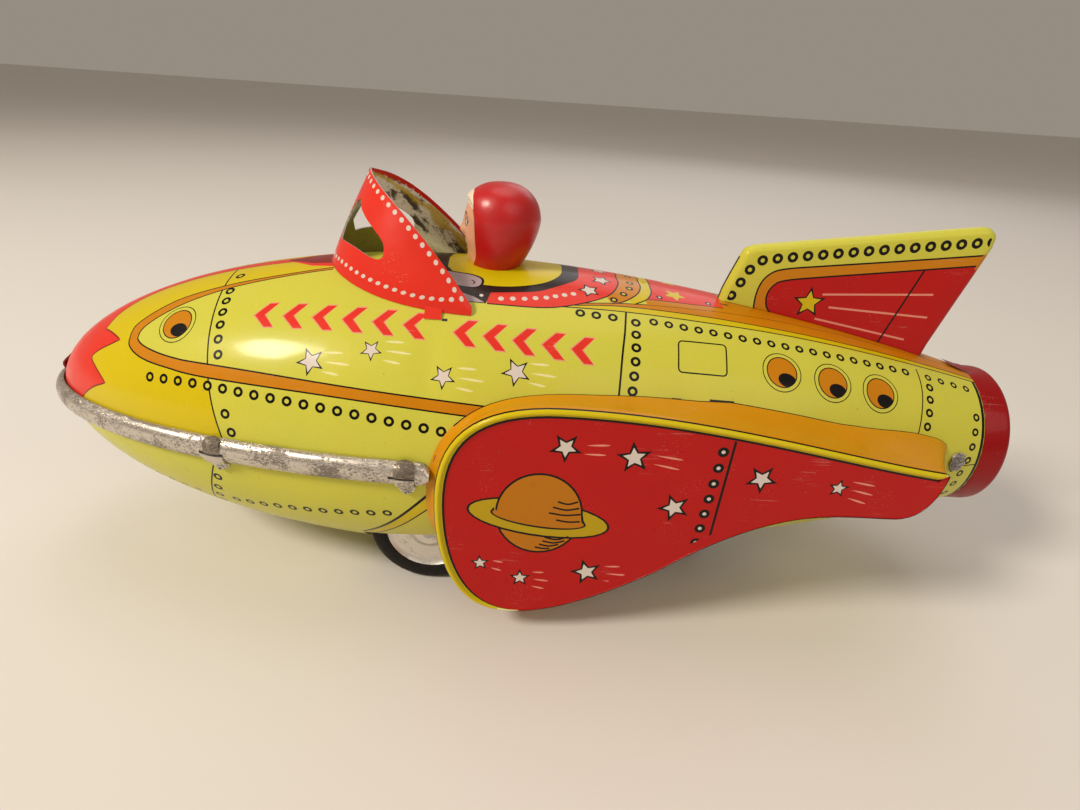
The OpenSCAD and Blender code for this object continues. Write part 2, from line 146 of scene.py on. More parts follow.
class Nodes:
    """A small helper that adds and links the nodes of one material."""

    def __init__(self, name):
        self.material = bpy.data.materials.new(name)
        self.material.use_nodes = True
        self.tree = self.material.node_tree
        self.shader = self.tree.nodes["Principled BSDF"]
        coords = self.add("TexCoord")
        self.coords = self.add("Mapping")
        self.coords.inputs["Scale"].default_value = (1 / MM,) * 3
        self.link(coords.outputs["Object"], self.coords.inputs["Vector"])

    def add(self, kind, **values):
        node = self.tree.nodes.new("ShaderNode" + kind)
        for key, value in values.items():
            if hasattr(node, key):
                setattr(node, key, value)
            else:
                node.inputs[key.replace("_", " ")].default_value = value
        return node

    def link(self, source, target):
        self.tree.links.new(source, target)

    def noise(self, scale, detail=3.0, rough=0.5, stretch=None):
        """Noise whose scale is in features per millimetre."""
        node = self.add("TexNoise")
        node.inputs["Scale"].default_value = scale
        node.inputs["Detail"].default_value = detail
        node.inputs["Roughness"].default_value = rough
        source = self.coords.outputs[0]
        if stretch:
            mapping = self.add("Mapping")
            mapping.inputs["Scale"].default_value = stretch[0]
            mapping.inputs["Rotation"].default_value = stretch[1]
            self.link(source, mapping.inputs["Vector"])
            source = mapping.outputs[0]
        self.link(source, node.inputs["Vector"])
        return node.outputs["Fac"]

    def spread(self, source, low, high, to_low=0.0, to_high=1.0):
        node = self.add("MapRange", clamp=True)
        for key, value in (("From Min", low), ("From Max", high), ("To Min", to_low), ("To Max", to_high)):
            node.inputs[key].default_value = value
        self.link(source, node.inputs["Value"])
        return node.outputs["Result"]

    def maths(self, operation, a, b):
        node = self.add("Math", operation=operation)
        for socket, value in zip(node.inputs, (a, b)):
            if isinstance(value, (int, float)):
                socket.default_value = value
            else:
                self.link(value, socket)
        return node.outputs[0]

    def plus(self, a, b):
        return self.maths("ADD", a, b)

    def minus(self, a, b):
        return self.maths("SUBTRACT", a, b)

    def times(self, a, b):
        return self.maths("MULTIPLY", a, b)

    def mix(self, fac, a, b):
        node = self.add("Mix", data_type="RGBA")
        for socket, value in zip((node.inputs[0], node.inputs[6], node.inputs[7]), (fac, a, b)):
            if isinstance(value, (int, float, tuple)):
                socket.default_value = value
            else:
                self.link(value, socket)
        return node.outputs[2]

    def bump(self, height, distance, strength):
        node = self.add("Bump")
        node.inputs["Strength"].default_value = strength
        node.inputs["Distance"].default_value = distance * MM
        self.link(height, node.inputs["Height"])
        self.link(node.outputs[0], self.shader.inputs["Normal"])

    def set(self, **values):
        for key, value in values.items():
            socket = self.shader.inputs[key.replace("_", " ")]
            if isinstance(value, (int, float, tuple)):
                socket.default_value = value
            else:
                self.link(value, socket)


_made = {}


def once(builder):
    """Makes each material only the first time that it is asked for."""

    def get(*key):
        if (builder, key) not in _made:
            _made[builder, key] = builder(*key)
        return _made[builder, key]

    return get


@once
def litho(ink):
    """Varnished lithographed tin: one ink with print mottle, hairline scratches and a few chips."""
    n = Nodes("litho_" + ink)
    colour = linear(INKS[ink])
    dark = tuple(c * 0.84 for c in colour[:3]) + (1.0,)
    warm = (min(1, colour[0] * 1.1), colour[1] * 1.02, colour[2] * 0.8, 1.0)
    blotch = n.spread(n.noise(0.09, 4), 0.35, 0.7)
    grain = n.spread(n.noise(3.2, 2, 0.7), 0.3, 0.72)
    inked = n.mix(n.times(blotch, 0.55), colour, warm)
    inked = n.mix(n.times(grain, 0.28), inked, dark)
    # hairline scratches in two directions, broken up by a second noise
    hair_a = n.spread(n.noise(1.0, 0, 0.5, ((0.06, 5.0, 5.0), (0.4, 0.2, 0.9))), 0.735, 0.76)
    hair_b = n.spread(n.noise(1.0, 0, 0.5, ((4.2, 0.05, 4.2), (0.9, 0.3, 0.35))), 0.745, 0.77)
    patch = n.spread(n.noise(0.16, 2), 0.56, 0.64)
    scratch = n.times(n.maths("MAXIMUM", hair_a, hair_b), patch)
    rubbed = (0.62, 0.56, 0.47, 1.0) if ink != "black" else (0.10, 0.08, 0.07, 1.0)
    inked = n.mix(n.times(scratch, 0.14), inked, rubbed)
    chips = n.spread(n.noise(1.1, 3, 0.6), 0.735, 0.75)
    inked = n.mix(n.times(chips, 0.8), inked, (0.16, 0.11, 0.08, 1.0))
    n.set(Base_Color=inked, Coat_Weight=0.22, Coat_Roughness=0.12, Specular_IOR_Level=0.12)
    rough = n.spread(n.noise(0.35, 4, 0.6), 0.3, 0.75, 0.27, 0.42)
    n.set(Roughness=n.plus(rough, n.times(scratch, 0.2)))
    ripple = n.plus(n.noise(0.12, 2), n.times(n.noise(2.6, 2), 0.06))
    n.bump(n.minus(ripple, n.times(chips, 0.15)), 0.25, 0.5)
    return n.material


@once
def worn_tin(kind):
    """Bare tinplate, from the mottled brown bumper to the hubs, bright under a dusty haze."""
    # colours of the tin and its stains, the noise level where stains start, roughness of each
    looks = {
        "bumper": ((0.64, 0.58, 0.51), (0.13, 0.10, 0.078), 0.52, 0.22, 0.5),
        "dark": ((0.30, 0.25, 0.20), (0.10, 0.075, 0.055), 0.5, 0.4, 0.6),
        "hub": ((0.82, 0.78, 0.72), (0.34, 0.29, 0.23), 0.60, 0.30, 0.5),
        "plate": ((0.62, 0.60, 0.56), (0.30, 0.27, 0.23), 0.56, 0.34, 0.55),
        "bright": ((0.55, 0.52, 0.48), (0.12, 0.10, 0.085), 0.5, 0.2, 0.4),
    }
    bright, stain, level, smooth, rough = looks[kind]
    n = Nodes("tin_" + kind)
    fine = n.noise(3.4, 5, 0.72, ((1.0, 0.5, 1.0), (0, 0, 0)))
    broad = n.noise(0.22, 3)
    mask = n.plus(fine, n.times(n.minus(broad, 0.5), 0.8))
    spots = n.spread(mask, level - 0.02, level + 0.09)
    specks = n.spread(n.noise(4.5, 3, 0.7), 0.6, 0.68)
    stained = n.maths("MAXIMUM", spots, n.times(specks, 0.45))
    colour = n.mix(n.times(stained, 0.85), bright + (1.0,), stain + (1.0,))
    n.set(Base_Color=colour, Metallic=n.spread(stained, 0, 1, 0.95, 0.35))
    streak = n.noise(2.0, 2, 0.5, ((1.0, 0.1, 1.0), (0, 0, 0)))
    n.set(Roughness=n.plus(n.spread(stained, 0, 1, smooth, rough), n.times(streak, 0.1)))
    n.bump(n.minus(streak, stained), 0.03, 0.6)
    return n.material


@once
def metal(name, colour, rough):
    """Turned or cut metal, with fine tool marks and an oily film."""
    n = Nodes(name)
    film = n.spread(n.noise(0.4, 4), 0.35, 0.7)
    marks = n.noise(5.0, 2, 0.6, ((0.15, 1.0, 1.0), (0, 0, 0)))
    dark = tuple(c * 0.55 for c in colour) + (1.0,)
    n.set(Base_Color=n.mix(n.times(film, 0.6), colour + (1.0,), dark), Metallic=1.0)
    n.set(Roughness=n.plus(n.times(marks, 0.18), rough))
    n.bump(marks, 0.015, 0.5)
    return n.material


@once
def rubber():
    """Old black rubber with patches of dust."""
    n = Nodes("old_rubber")
    dust = n.spread(n.noise(0.8, 5, 0.65), 0.45, 0.75)
    n.set(Base_Color=n.mix(n.times(dust, 0.3), (0.009, 0.007, 0.007, 1), (0.05, 0.04, 0.035, 1)))
    n.set(Roughness=n.spread(dust, 0, 1, 0.5, 0.78), Specular_IOR_Level=0.2)
    n.bump(n.plus(n.noise(3.0, 4, 0.7), dust), 0.04, 0.6)
    return n.material


@once
def worn_inside():
    """Inside of the canopy: smeared pale primer, a gold band below the edge and a darker olive low down."""
    n = Nodes("canopy_inside")
    # smears run with the rear edge, which leans back across the side of the canopy
    lean = n.add("Mapping", vector_type="TEXTURE")
    lean.inputs["Rotation"].default_value = (math.radians(-48), 0, 0)
    lean.inputs["Scale"].default_value = (1.6, 3.4, 1.0)
    n.link(n.coords.outputs[0], lean.inputs["Vector"])
    straight, n.coords = n.coords, lean
    haze = n.spread(n.noise(0.5, 5, 0.6), 0.46, 0.66)
    smear = n.spread(n.noise(0.5, 5, 0.62), 0.51, 0.57)
    wander = n.spread(n.noise(0.40, 3, 0.5), 0.3, 0.7, -1.8, 1.8)
    n.coords = straight
    # depth of the place below the rear edge, which leans back as the line y + z = constant does
    parts = n.add("SeparateXYZ")
    n.link(n.coords.outputs[0], parts.inputs[0])
    depth = n.plus(n.plus(parts.outputs["Y"], parts.outputs["Z"]), wander)
    band = n.times(n.spread(depth, AXIS_Z + 13.6, AXIS_Z + 14.2),
                   n.spread(depth, AXIS_Z + 15.3, AXIS_Z + 15.8, 1, 0))
    # darker olive towards the base of the canopy
    olive_low = n.spread(depth, AXIS_Z + 5.0, AXIS_Z + 8.0, 1, 0)
    base = n.mix(haze, (0.97, 0.94, 0.88, 1), (0.60, 0.55, 0.48, 1))
    base = n.mix(n.times(smear, 0.9), base, (0.035, 0.022, 0.016, 1))
    base = n.mix(n.times(band, 0.85), base, (0.72, 0.52, 0.05, 1))
    base = n.mix(olive_low, base, (0.26, 0.24, 0.045, 1))
    specks = n.spread(n.noise(2.4, 3, 0.7), 0.6, 0.66)
    base = n.mix(n.times(specks, 0.75), base, (0.03, 0.02, 0.015, 1))
    n.set(Base_Color=base, Roughness=n.spread(specks, 0, 1, 0.42, 0.7))
    n.bump(n.noise(1.2, 4), 0.08, 0.6)
    return n.material


@once
def head_paint(ink):
    """Brush-painted composition: satin, softly uneven, with a little wear."""
    n = Nodes("paint_" + ink)
    colour = linear(INKS[ink])
    deep = tuple(c * 0.72 for c in colour[:3]) + (1.0,)
    uneven = n.spread(n.noise(0.35, 5, 0.6), 0.35, 0.7)
    dirt = n.spread(n.noise(1.6, 4, 0.7), 0.62, 0.74)
    paint = n.mix(n.times(uneven, 0.45), colour, deep)
    paint = n.mix(n.times(dirt, 0.3), paint, (0.10, 0.03, 0.025, 1))
    n.set(Base_Color=paint, Coat_Weight=0.25, Coat_Roughness=0.25)
    n.set(Roughness=n.spread(uneven, 0, 1, 0.34, 0.46))
    n.bump(n.plus(n.noise(0.9, 3), n.times(n.noise(4.0, 2), 0.25)), 0.07, 0.6)
    return n.material


@once
def dark_slot():
    """The unlit inside of a cut in the sheet."""
    n = Nodes("slot_dark")
    n.set(Base_Color=n.mix(n.noise(1.5, 3), (0.012, 0.010, 0.008, 1), (0.03, 0.024, 0.018, 1)), Roughness=0.7)
    return n.material


FINISHES = {
    "inside": worn_inside, "rubber": rubber, "slot": dark_slot, "paint_lips": lambda: head_paint("dark_red"),
}


def finish_of(ink):
    """An ink's material: printed tin, unless it is listed above or its name starts with tin_ or paint_."""
    if ink in FINISHES:
        return FINISHES[ink]()
    kind, _, name = ink.partition("_")
    return {"tin": worn_tin, "paint": head_paint}[kind](name) if kind in ("tin", "paint") else litho(ink)


# ---------------------------------------------------------------- surfaces and shapes


def unit(v):
    length = np.linalg.norm(v, axis=-1, keepdims=True)
    return v / np.maximum(length, 1e-9)


def run_length(points):
    """The distance along a path to each of its points."""
    return np.concatenate([[0], np.cumsum(np.linalg.norm(np.diff(points, axis=0), axis=1))])


def swept_area(polygon):
    """Twice the signed area, positive for an anticlockwise outline."""
    p = np.asarray(polygon, float)
    q = np.roll(p, -1, 0)
    return float(np.sum(p[:, 0] * q[:, 1] - q[:, 0] * p[:, 1]))


class Surface:
    """A bent sheet: place(u, v) gives its points, u is in millimetres and per_v(u) is millimetres per v."""

    def __init__(self, place, per_v=lambda u: 1.0, outward=1.0):
        self.place = place
        self.per_v = per_v
        self.outward = outward

    def normals(self, u, v):
        h = 0.05
        k = h / np.maximum(self.per_v(u), 1e-3)
        across = self.place(u + h, v) - self.place(u - h, v)
        up = self.place(u, v + k) - self.place(u, v - k)
        return unit(np.cross(across, up)) * self.outward


class Shape:
    """Collects faces with their inks and makes one Blender piece of them."""

    def __init__(self):
        self.points, self.normals, self.faces, self.inks = [], [], [], []
        self.count = 0

    def add(self, points, normals, faces, inks):
        self.points.append(points)
        self.normals.append(normals)
        self.faces += [tuple(i + self.count for i in f) for f in faces]
        self.inks += inks
        self.count += len(points)

    def add_grid(self, points, inks, closed=False, flip=False):
        """Rows by columns of points. inks names the ink of each strip between columns, or is one name."""
        points = np.asarray(points, float)
        rows, cols = points.shape[:2]
        if closed:
            wide = np.concatenate([points[-1:], points, points[:1]])
            du = (wide[2:] - wide[:-2]) / 2
        else:
            du = np.gradient(points, axis=0)
        dv = np.gradient(points, axis=1)
        normals = unit(np.cross(du, dv)) * (-1 if flip else 1)
        faces, names = [], []
        for i in range(rows if closed else rows - 1):
            for j in range(cols - 1):
                k = (i + 1) % rows
                quad = (i * cols + j, k * cols + j, k * cols + j + 1, i * cols + j + 1)
                faces.append(quad[::-1] if flip else quad)
                names.append(inks if isinstance(inks, str) else inks(i, j) if callable(inks) else inks[j])
        self.add(points.reshape(-1, 3), normals.reshape(-1, 3), faces, names)

    def add_print(self, surface, outline, art, grid, holes=()):
        """Triangulates the outline with its artwork, and bends the result onto the surface."""
        squeeze = float(surface.per_v(np.mean([p[0] for p in outline])))
        coords, faces = [], []
        polygons = [outline, *holes, *[p for ink, p in art.shapes]]
        for polygon in polygons:
            if swept_area(polygon) < 0:
                polygon = polygon[::-1]
            faces.append(list(range(len(coords), len(coords) + len(polygon))))
            coords += [Vector((u, v * squeeze)) for u, v in polygon]
        coords += [Vector((u, v * squeeze)) for u, v in grid]
        out, _, tris, _, _, inside = delaunay_2d_cdt(coords, [], faces, 1, 1e-4, True)
        flat = np.array([(p.x, p.y / squeeze) for p in out])
        points = surface.place(flat[:, 0], flat[:, 1])
        normals = surface.normals(flat[:, 0], flat[:, 1])
        kept, names = [], []
        for tri, owners in zip(tris, inside):
            if 0 not in owners or any(0 < o <= len(holes) for o in owners):
                continue
            top = max(owners)
            names.append(art.ground if top == 0 else art.shapes[top - 1 - len(holes)][0])
            kept.append(tuple(tri) if surface.outward > 0 else tuple(tri[::-1]))
        self.add(points, normals, kept, names)

    def build(self, name, body, slot, stands_for=(), thick=0.0, back="tin_plate", rim="tin_bright",
              back_ink=None):
        """Welds the patches, gives a sheet its back and cut edges, and makes the piece ride on its body."""
        points = np.concatenate(self.points)
        normals = np.concatenate(self.normals)
        _, first, joined = np.unique(np.round(points, 3), axis=0, return_index=True, return_inverse=True)
        joined = joined.ravel()
        summed = np.zeros((len(first), 3))
        np.add.at(summed, joined, normals)
        points, normals = points[first], unit(summed)
        faces, inks = [], []
        for face, ink in zip(self.faces, self.inks):
            corners = [int(joined[i]) for i in face]
            corners = [c for k, c in enumerate(corners) if c != corners[k - 1]]
            if len(set(corners)) >= 3:
                faces.append(tuple(corners))
                inks.append(ink)
        loops = [normals[list(f)] for f in faces]
        count = len(points)
        if thick:
            edges = dict.fromkeys(e for face in faces for e in zip(face, face[1:] + face[:1]))
            for face in list(faces):
                faces.append(tuple(i + count for i in face[::-1]))
                loops.append(-normals[list(face[::-1])])
                inks.append(back_ink(points[list(face)].mean(0)) if back_ink else back)
            for a, b in [e for e in edges if (e[1], e[0]) not in edges]:
                faces.append((b, a, a + count, b + count))
                flat = unit(np.cross(points[a] - points[b], -normals[a]))
                loops.append(np.repeat(flat[None], 4, 0))
                inks.append(rim)
            points = np.concatenate([points, points - thick * normals])
        mesh = bpy.data.meshes.new(name)
        mesh.from_pydata((points + (0, 0, AXIS_Z)) * MM, [], faces)
        order = sorted(set(inks))
        for ink in order:
            mesh.materials.append(finish_of(ink))
        mesh.polygons.foreach_set("material_index", [order.index(i) for i in inks])
        mesh.polygons.foreach_set("use_smooth", [True] * len(faces))
        mesh.normals_split_custom_set(np.concatenate(loops).tolist())
        mesh.update()
        piece = bpy.data.objects.new(name, mesh)
        bpy.context.scene.collection.objects.link(piece)
        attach(piece, body)
        if stands_for:
            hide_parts(*stands_for)
        return piece


CURVE_STEPS = 6


def curve(points, steps=CURVE_STEPS, closed=False):
    """A smooth curve through the points (Catmull-Rom), with a number of steps from each to the next."""
    p = np.asarray(points, float)
    if closed:
        p = np.concatenate([p[-1:], p, p[:2]])
    else:
        p = np.concatenate([[2 * p[0] - p[1]], p, [2 * p[-1] - p[-2]]])
    out = []
    for i in range(1, len(p) - 2):
        a, b, c, d = p[i - 1 : i + 3]
        square, cube = 2 * a - 5 * b + 4 * c - d, 3 * b - a - 3 * c + d
        for t in np.arange(steps) / steps:
            out.append(0.5 * (2 * b + (c - a) * t + square * t**2 + cube * t**3))
    if not closed:
        out.append(p[-2])
    return [tuple(q) for q in out]


def bezier_at(p, t):
    """Points of the cubic curve with the control points p, at the shares t of its length."""
    t = np.asarray(t, float)[..., None]
    return (1 - t) ** 3 * p[0] + 3 * t * (1 - t) ** 2 * p[1] + 3 * t**2 * (1 - t) * p[2] + t**3 * p[3]


def bezier(p, steps, last=False):
    """Steps along a cubic curve, without its last point unless that is asked for."""
    return [tuple(x) for x in bezier_at(np.asarray(p, float), np.arange(steps + last) / steps)]


def dense(surface, points, step=2.0, closed=True):
    """The outline with no edge longer than step millimetres."""
    out = []
    pairs = zip(points, list(points[1:]) + ([points[0]] if closed else []))
    for (u0, v0), (u1, v1) in pairs:
        per_v = float(surface.per_v((u0 + u1) / 2))
        parts = max(1, math.ceil(math.hypot(u1 - u0, (v1 - v0) * per_v) / step))
        out += [(u0 + (u1 - u0) * i / parts, v0 + (v1 - v0) * i / parts) for i in range(parts)]
    if not closed:
        out.append(tuple(points[-1]))
    return out


def offset(points, distance):
    """A closed outline moved outwards by distance, for points in anticlockwise order."""
    p = np.asarray(points, float)
    tangent = unit(np.roll(p, -1, 0) - np.roll(p, 1, 0))
    return [tuple(q) for q in p + distance * np.stack([tangent[:, 1], -tangent[:, 0]], -1)]


# Widths of printed lines, and a printed rivet's radius
HAIR, THIN, FINE, LINE, HEAVY, BROAD = 0.2, 0.24, 0.26, 0.28, 0.34, 0.62
RIVET_R = 0.86


class Artwork:
    """Printed shapes in painting order. With a mirror value m, each shape is also printed at v = m - v."""

    def __init__(self, surface, ground, mirror=None):
        self.surface, self.ground, self.mirror = surface, ground, mirror
        self.shapes = []

    def fill(self, ink, points):
        points = dense(self.surface, [tuple(map(float, p)) for p in points])
        self.shapes.append((ink, points))
        if self.mirror is not None:
            self.shapes.append((ink, [(u, self.mirror - v) for u, v in points]))

    def line(self, ink, points, width):
        p = np.asarray(dense(self.surface, points, closed=False), float)
        per_v = np.array([float(self.surface.per_v(u)) for u in p[:, 0]])
        step = np.gradient(p, axis=0)
        t = unit(np.stack([step[:, 0], step[:, 1] * per_v], -1))
        side = np.stack([-t[:, 1], t[:, 0] / per_v], -1) * width / 2
        self.fill(ink, [tuple(q) for q in p + side] + [tuple(q) for q in (p - side)[::-1]])

    def disc(self, ink, centre, radius, steps=14):
        u, v = centre
        per_v = float(self.surface.per_v(u))
        angles = np.arange(steps) * 2 * math.pi / steps
        self.fill(ink, [(u + radius * math.cos(a), v + radius * math.sin(a) / per_v) for a in angles])

    def rivet(self, centre, ground, radius, hole=0.46):
        self.disc("black", centre, radius)
        self.disc(ground, centre, radius * hole, 10)

    def star(self, ink, centre, radius, turn, edge, waist=0.42):
        """A five-pointed star whose black outline runs out in spikes."""
        u, v = centre
        per_v = float(self.surface.per_v(u))
        for name, size in (("black", 1.0), (ink, edge)):
            points = []
            for k in range(10):
                r = radius * size * (1 if k % 2 == 0 else waist * (1 if name == "black" else 1.14))
                a = math.radians(turn + 36 * k)
                points.append((u + r * math.cos(a), v + r * math.sin(a) / per_v))
            self.fill(name, points)

    def streaks(self, ink, centre, lengths, start, slope, width, gap=1.55):
        """Brushed speed lines that trail towards the tail, widest two thirds of the way along."""
        u, v = centre
        per_v = float(self.surface.per_v(u))
        for k, length in enumerate(lengths):
            rise = (k - (len(lengths) - 1) / 2) * gap
            u0 = u + start + 0.3 * (k % 2)
            path = []
            for t, half in ((0, 0.1), (0.3, 0.75), (0.66, 1), (0.9, 0.6), (1, 0.1)):
                centre_v = rise * (1 + 0.15 * t) + slope * length * t
                path.append((u0 + length * t, centre_v - half * width / 2, centre_v + half * width / 2))
            under = [(a, v + b / per_v) for a, b, c in path]
            over = [(a, v + c / per_v) for a, b, c in path[::-1]]
            self.fill(ink, under + over)

    def frame(self, ink, ground, corners, width=FINE, radius=0.7):
        """A printed outline with rounded corners."""
        c = np.asarray(corners, float)
        mid = c.mean(0)
        per_v = float(self.surface.per_v(mid[0]))
        flat = (c - mid) * (1, per_v)
        if swept_area(flat) < 0:
            flat = flat[::-1]
        for name, grow in ((ink, width / 2), (ground, -width / 2)):
            points = []
            for k in range(len(flat)):
                ahead, behind = unit(flat[(k + 1) % len(flat)] - flat[k]), unit(flat[k - 1] - flat[k])
                corner = flat[k] - grow * (ahead + behind)
                bend = radius + grow
                points += bezier([corner + bend * behind, corner + bend * behind * 0.45,
                                  corner + bend * ahead * 0.45, corner + bend * ahead], 4, True)
            self.fill(name, [tuple(mid + np.array(q) / (1, per_v)) for q in points])


def spaced(start, end, count):
    start, end = np.asarray(start), np.asarray(end)
    return [tuple(start + (end - start) * i / (count - 1)) for i in range(count)]


def arch(points):
    """A smooth curve from the middle line outwards that also meets its mirror image smoothly."""
    behind = (points[1][0], -points[1][1])
    return curve([behind, *points])[CURVE_STEPS:]


def along_curve(points, count):
    """Points spaced evenly along a polyline."""
    p = np.asarray(points, float)
    run = run_length(p)
    at = np.linspace(0, run[-1], count)
    return [(float(np.interp(a, run, p[:, 0])), float(np.interp(a, run, p[:, 1]))) for a in at]


def lattice(u0, u1, v0, v1, step_u, step_v):
    """Inner points for a surface that bends, staggered from row to row."""
    rows = np.arange(u0 + step_u / 2, u1, step_u)
    cols = np.arange(v0 + step_v / 2, v1, step_v)
    return [(u, v + (i % 2 - 0.5) * step_v * 0.4) for i, u in enumerate(rows) for v in cols]


# ---------------------------------------------------------------- the body

# Shallow dents left by play: station, angle from the top, spread in mm along and round, depth
DENTS = [
    (-14, 56, 2.0, 7, 0.22), (-8, 57, 1.7, 6, -0.14), (-33, 62, 3.2, 6, 0.16), (2, 60, 4, 5, 0.15),
    (28, 63, 3, 4, 0.25), (60, 62, 5, 5, 0.12), (-40, 96, 6, 9, 0.15), (-20, -58, 4, 7, 0.2),
    (18, -50, 5, 6, 0.15), (-52, -40, 4, 6, 0.12),
]


def body_place(u, v):
    y = station(np.maximum(u, 1e-3))
    radius = body_radius(y)
    turn = (np.asarray(v, float) + 180) % 360 - 180
    for dent_y, angle, long, round_, depth in DENTS:
        away = (turn - angle) * math.pi / 180 * BODY_R
        radius = radius - depth * np.exp(-(((y - dent_y) / long) ** 2) - (away / round_) ** 2)
    a = np.radians(v)
    return np.stack([radius * np.sin(a), y, radius * np.cos(a)], -1)


def body_per_v(u):
    return np.maximum(body_radius(station(u)), 0.4) * math.pi / 180


body = Surface(body_place, body_per_v, outward=-1.0)


def on_body(places):
    """(station, angle from the top) pairs as points of the body's flat pattern."""
    return [(float(along(y)), float(a)) for y, a in places]


class BodyArt(Artwork):
    """Artwork on the body, whose places are (station, angle from the top) pairs."""

    def __init__(self, mirror):
        super().__init__(body, "lime", mirror)

    def area(self, ink, places):
        self.fill(ink, on_body(places))

    def stroke(self, places, width, ink="black"):
        self.line(ink, on_body(places), width)

    def rivets(self, places, radius=RIVET_R, ground="lime"):
        for spot in on_body(places):
            self.rivet(spot, ground, radius)


def upper_art():
    art = BodyArt(mirror=0.0)
    tip = NOSE_Y + 0.02
    hoop = curve([(-52.2, 0), (-51.9, 12), (-51.4, 30), (-50.6, 50), (-49.2, 70), (-47, 90)])
    band_out = curve([(-67, 41), (-66.6, 48), (-63.5, 54.6), (-58, 59), (-49.6, 62.5), (-27, 66.4),
                      (-7, 69.5), (8, 71)])
    band_in = curve([(-65.1, 41.5), (-64.9, 45.5), (-62.5, 50), (-57.5, 54.4), (-50.2, 57.2),
                     (-27.4, 62.5), (-5, 65.9), (8, 67.3)])
    arm_out = curve([(-67, 41), (-66.4, 36), (-63.6, 29.8), (-59, 23.5), (-50.9, 19), (-41, 15.4), (-33, 12)])
    arm_in = curve([(-65.1, 41.5), (-64.3, 38), (-61.6, 32.6), (-57, 26.6), (-50.3, 21.4), (-41, 17),
                    (-33, 13.6)])
    # yellow nose, ahead of the hoop and above the orange arm
    art.area("yellow", [(tip, 90), (-47, 90)] + hoop[::-1][:-24]
             + [(-50, 60), (-58, 57), (-66, 45), (-66, 36)] + arm_out[8:] + [(-33, 0), (tip, 0)])
    art.stroke(hoop, LINE)
    for outer, inner in ((band_out, band_in), (arm_out, arm_in)):
        art.area("orange", outer + inner[::-1])
    art.stroke(arm_out[::-1] + band_out[1:], FINE)
    art.stroke(arm_in[::-1] + band_in[1:], FINE)
    art.area("orange", [(-66.8, 39.5), (-65.3, 40), (-65.2, 43), (-66.9, 42.8)])
    # red flame and its stripe back to the canopy
    flame = (
        curve([(-78.3, 90), (-77.5, 80), (-74.6, 72.4), (-71.2, 68.4)])
        + curve([(-71.2, 68.4), (-73.6, 60.4), (-75.4, 53), (-74, 48.5), (-69.2, 43.8)])[1:]
        + curve([(-69.2, 43.8), (-71.6, 38.2), (-74.2, 32.6)])[1:]
        + curve([(-74.2, 32.6), (-72.5, 20), (-68, 10), (-60, 5), (-50, 3.4), (-42, 3.2)])[1:]
    )
    art.area("scarlet", flame + [(-37.5, 9.5), (-34, 10.8), (-33, 11), (-33, 0), (tip, 0), (tip, 90)])
    art.stroke(flame, LINE, "dark_red")
    art.area("dark_red", [(-43, 1.2), (-37.5, 7), (-33, 8), (-33, 0), (-43, 0)])
    # rivets beside the hoop and under the band
    art.rivets([(-50, 12.5)], ground="yellow")
    art.rivets([(-50, 23.5), (-49.8, 29.3), (-49.6, 35.1), (-49.3, 41), (-49, 47.2), (-48.5, 53.4),
                (-46.6, 75.5), (-45.7, 82.5)])
    belt = along_curve([(-61.1, 63.4), (-51.2, 65.1), (-42.2, 67.4), (-25.5, 71.2), (-10.9, 75.0)], 19)
    art.rivets([place for place in belt if place[0] < -50], ground="yellow")
    art.rivets([place for place in belt if place[0] >= -50])
    porthole(art, (-57.7, 39), (0.26, 0.46))
    for y, a, size, turn in [(-32.5, 54.8, 2.5, 100), (-22.9, 50.1, 1.9, 86), (-11.1, 57.5, 2.15, 92),
                             (0.3, 54.2, 2.5, 98)]:
        u, v = on_body([(y, a)])[0]
        art.streaks("pale", (u + 0.8, v), (3.2, 4.2, 2.9), start=1.2, slope=0.08, width=0.42)
        art.star("white", (u, v), size, turn, edge=0.74)
    speed_marks(art)
    hatch_and_ports(art)
    top_art(art)
    return art


def porthole(art, centre, shadow, radius=3.6):
    """A printed window: a thin outer ring, an orange pane and a dark shape low in it."""
    u, v = on_body([centre])[0]
    per_v = float(body_per_v(u))
    for ink, r in (("black", radius), ("lime", radius - 0.17), ("black", radius * 0.79),
                   ("orange", radius * 0.735)):
        art.disc(ink, (u, v), r, 28)
    pane = radius * 0.74
    blob = []
    for a in np.radians(np.arange(0, 360, 15)):
        du = pane * (shadow[0] + 0.62 * math.cos(a) - 0.1 * math.sin(a))
        dv = pane * (shadow[1] + 0.46 * math.sin(a) + 0.12 * math.cos(a))
        reach = max(1.0, math.hypot(du, dv) / pane)
        blob.append((u + du / reach, v + dv / reach / per_v))
    art.fill("black", blob)


def speed_marks(art):
    """Two runs of forward-pointing chevrons along the flank, with a pale edge as the print has."""
    half, back, front = 2.3, 1.75, 1.9
    for start, end, count in (((-41.6, 37.4), (-16.4, 40.6), 6), ((-8.2, 42.2), (10.8, 44.6), 5)):
        for u, v in on_body(spaced(start, end, count)):
            per_v = float(body_per_v(u))
            for ink, grow in (("pink", 0.22), ("scarlet", 0.0)):
                nib = [(-front - grow * 1.5, 0), (0.2, -half - grow), (back + grow, -half - grow),
                       (-0.2 + grow * 1.2, 0), (back + grow, half + grow), (0.2, half + grow)]
                art.fill(ink, [(u + x, v + z / per_v) for x, z in nib])


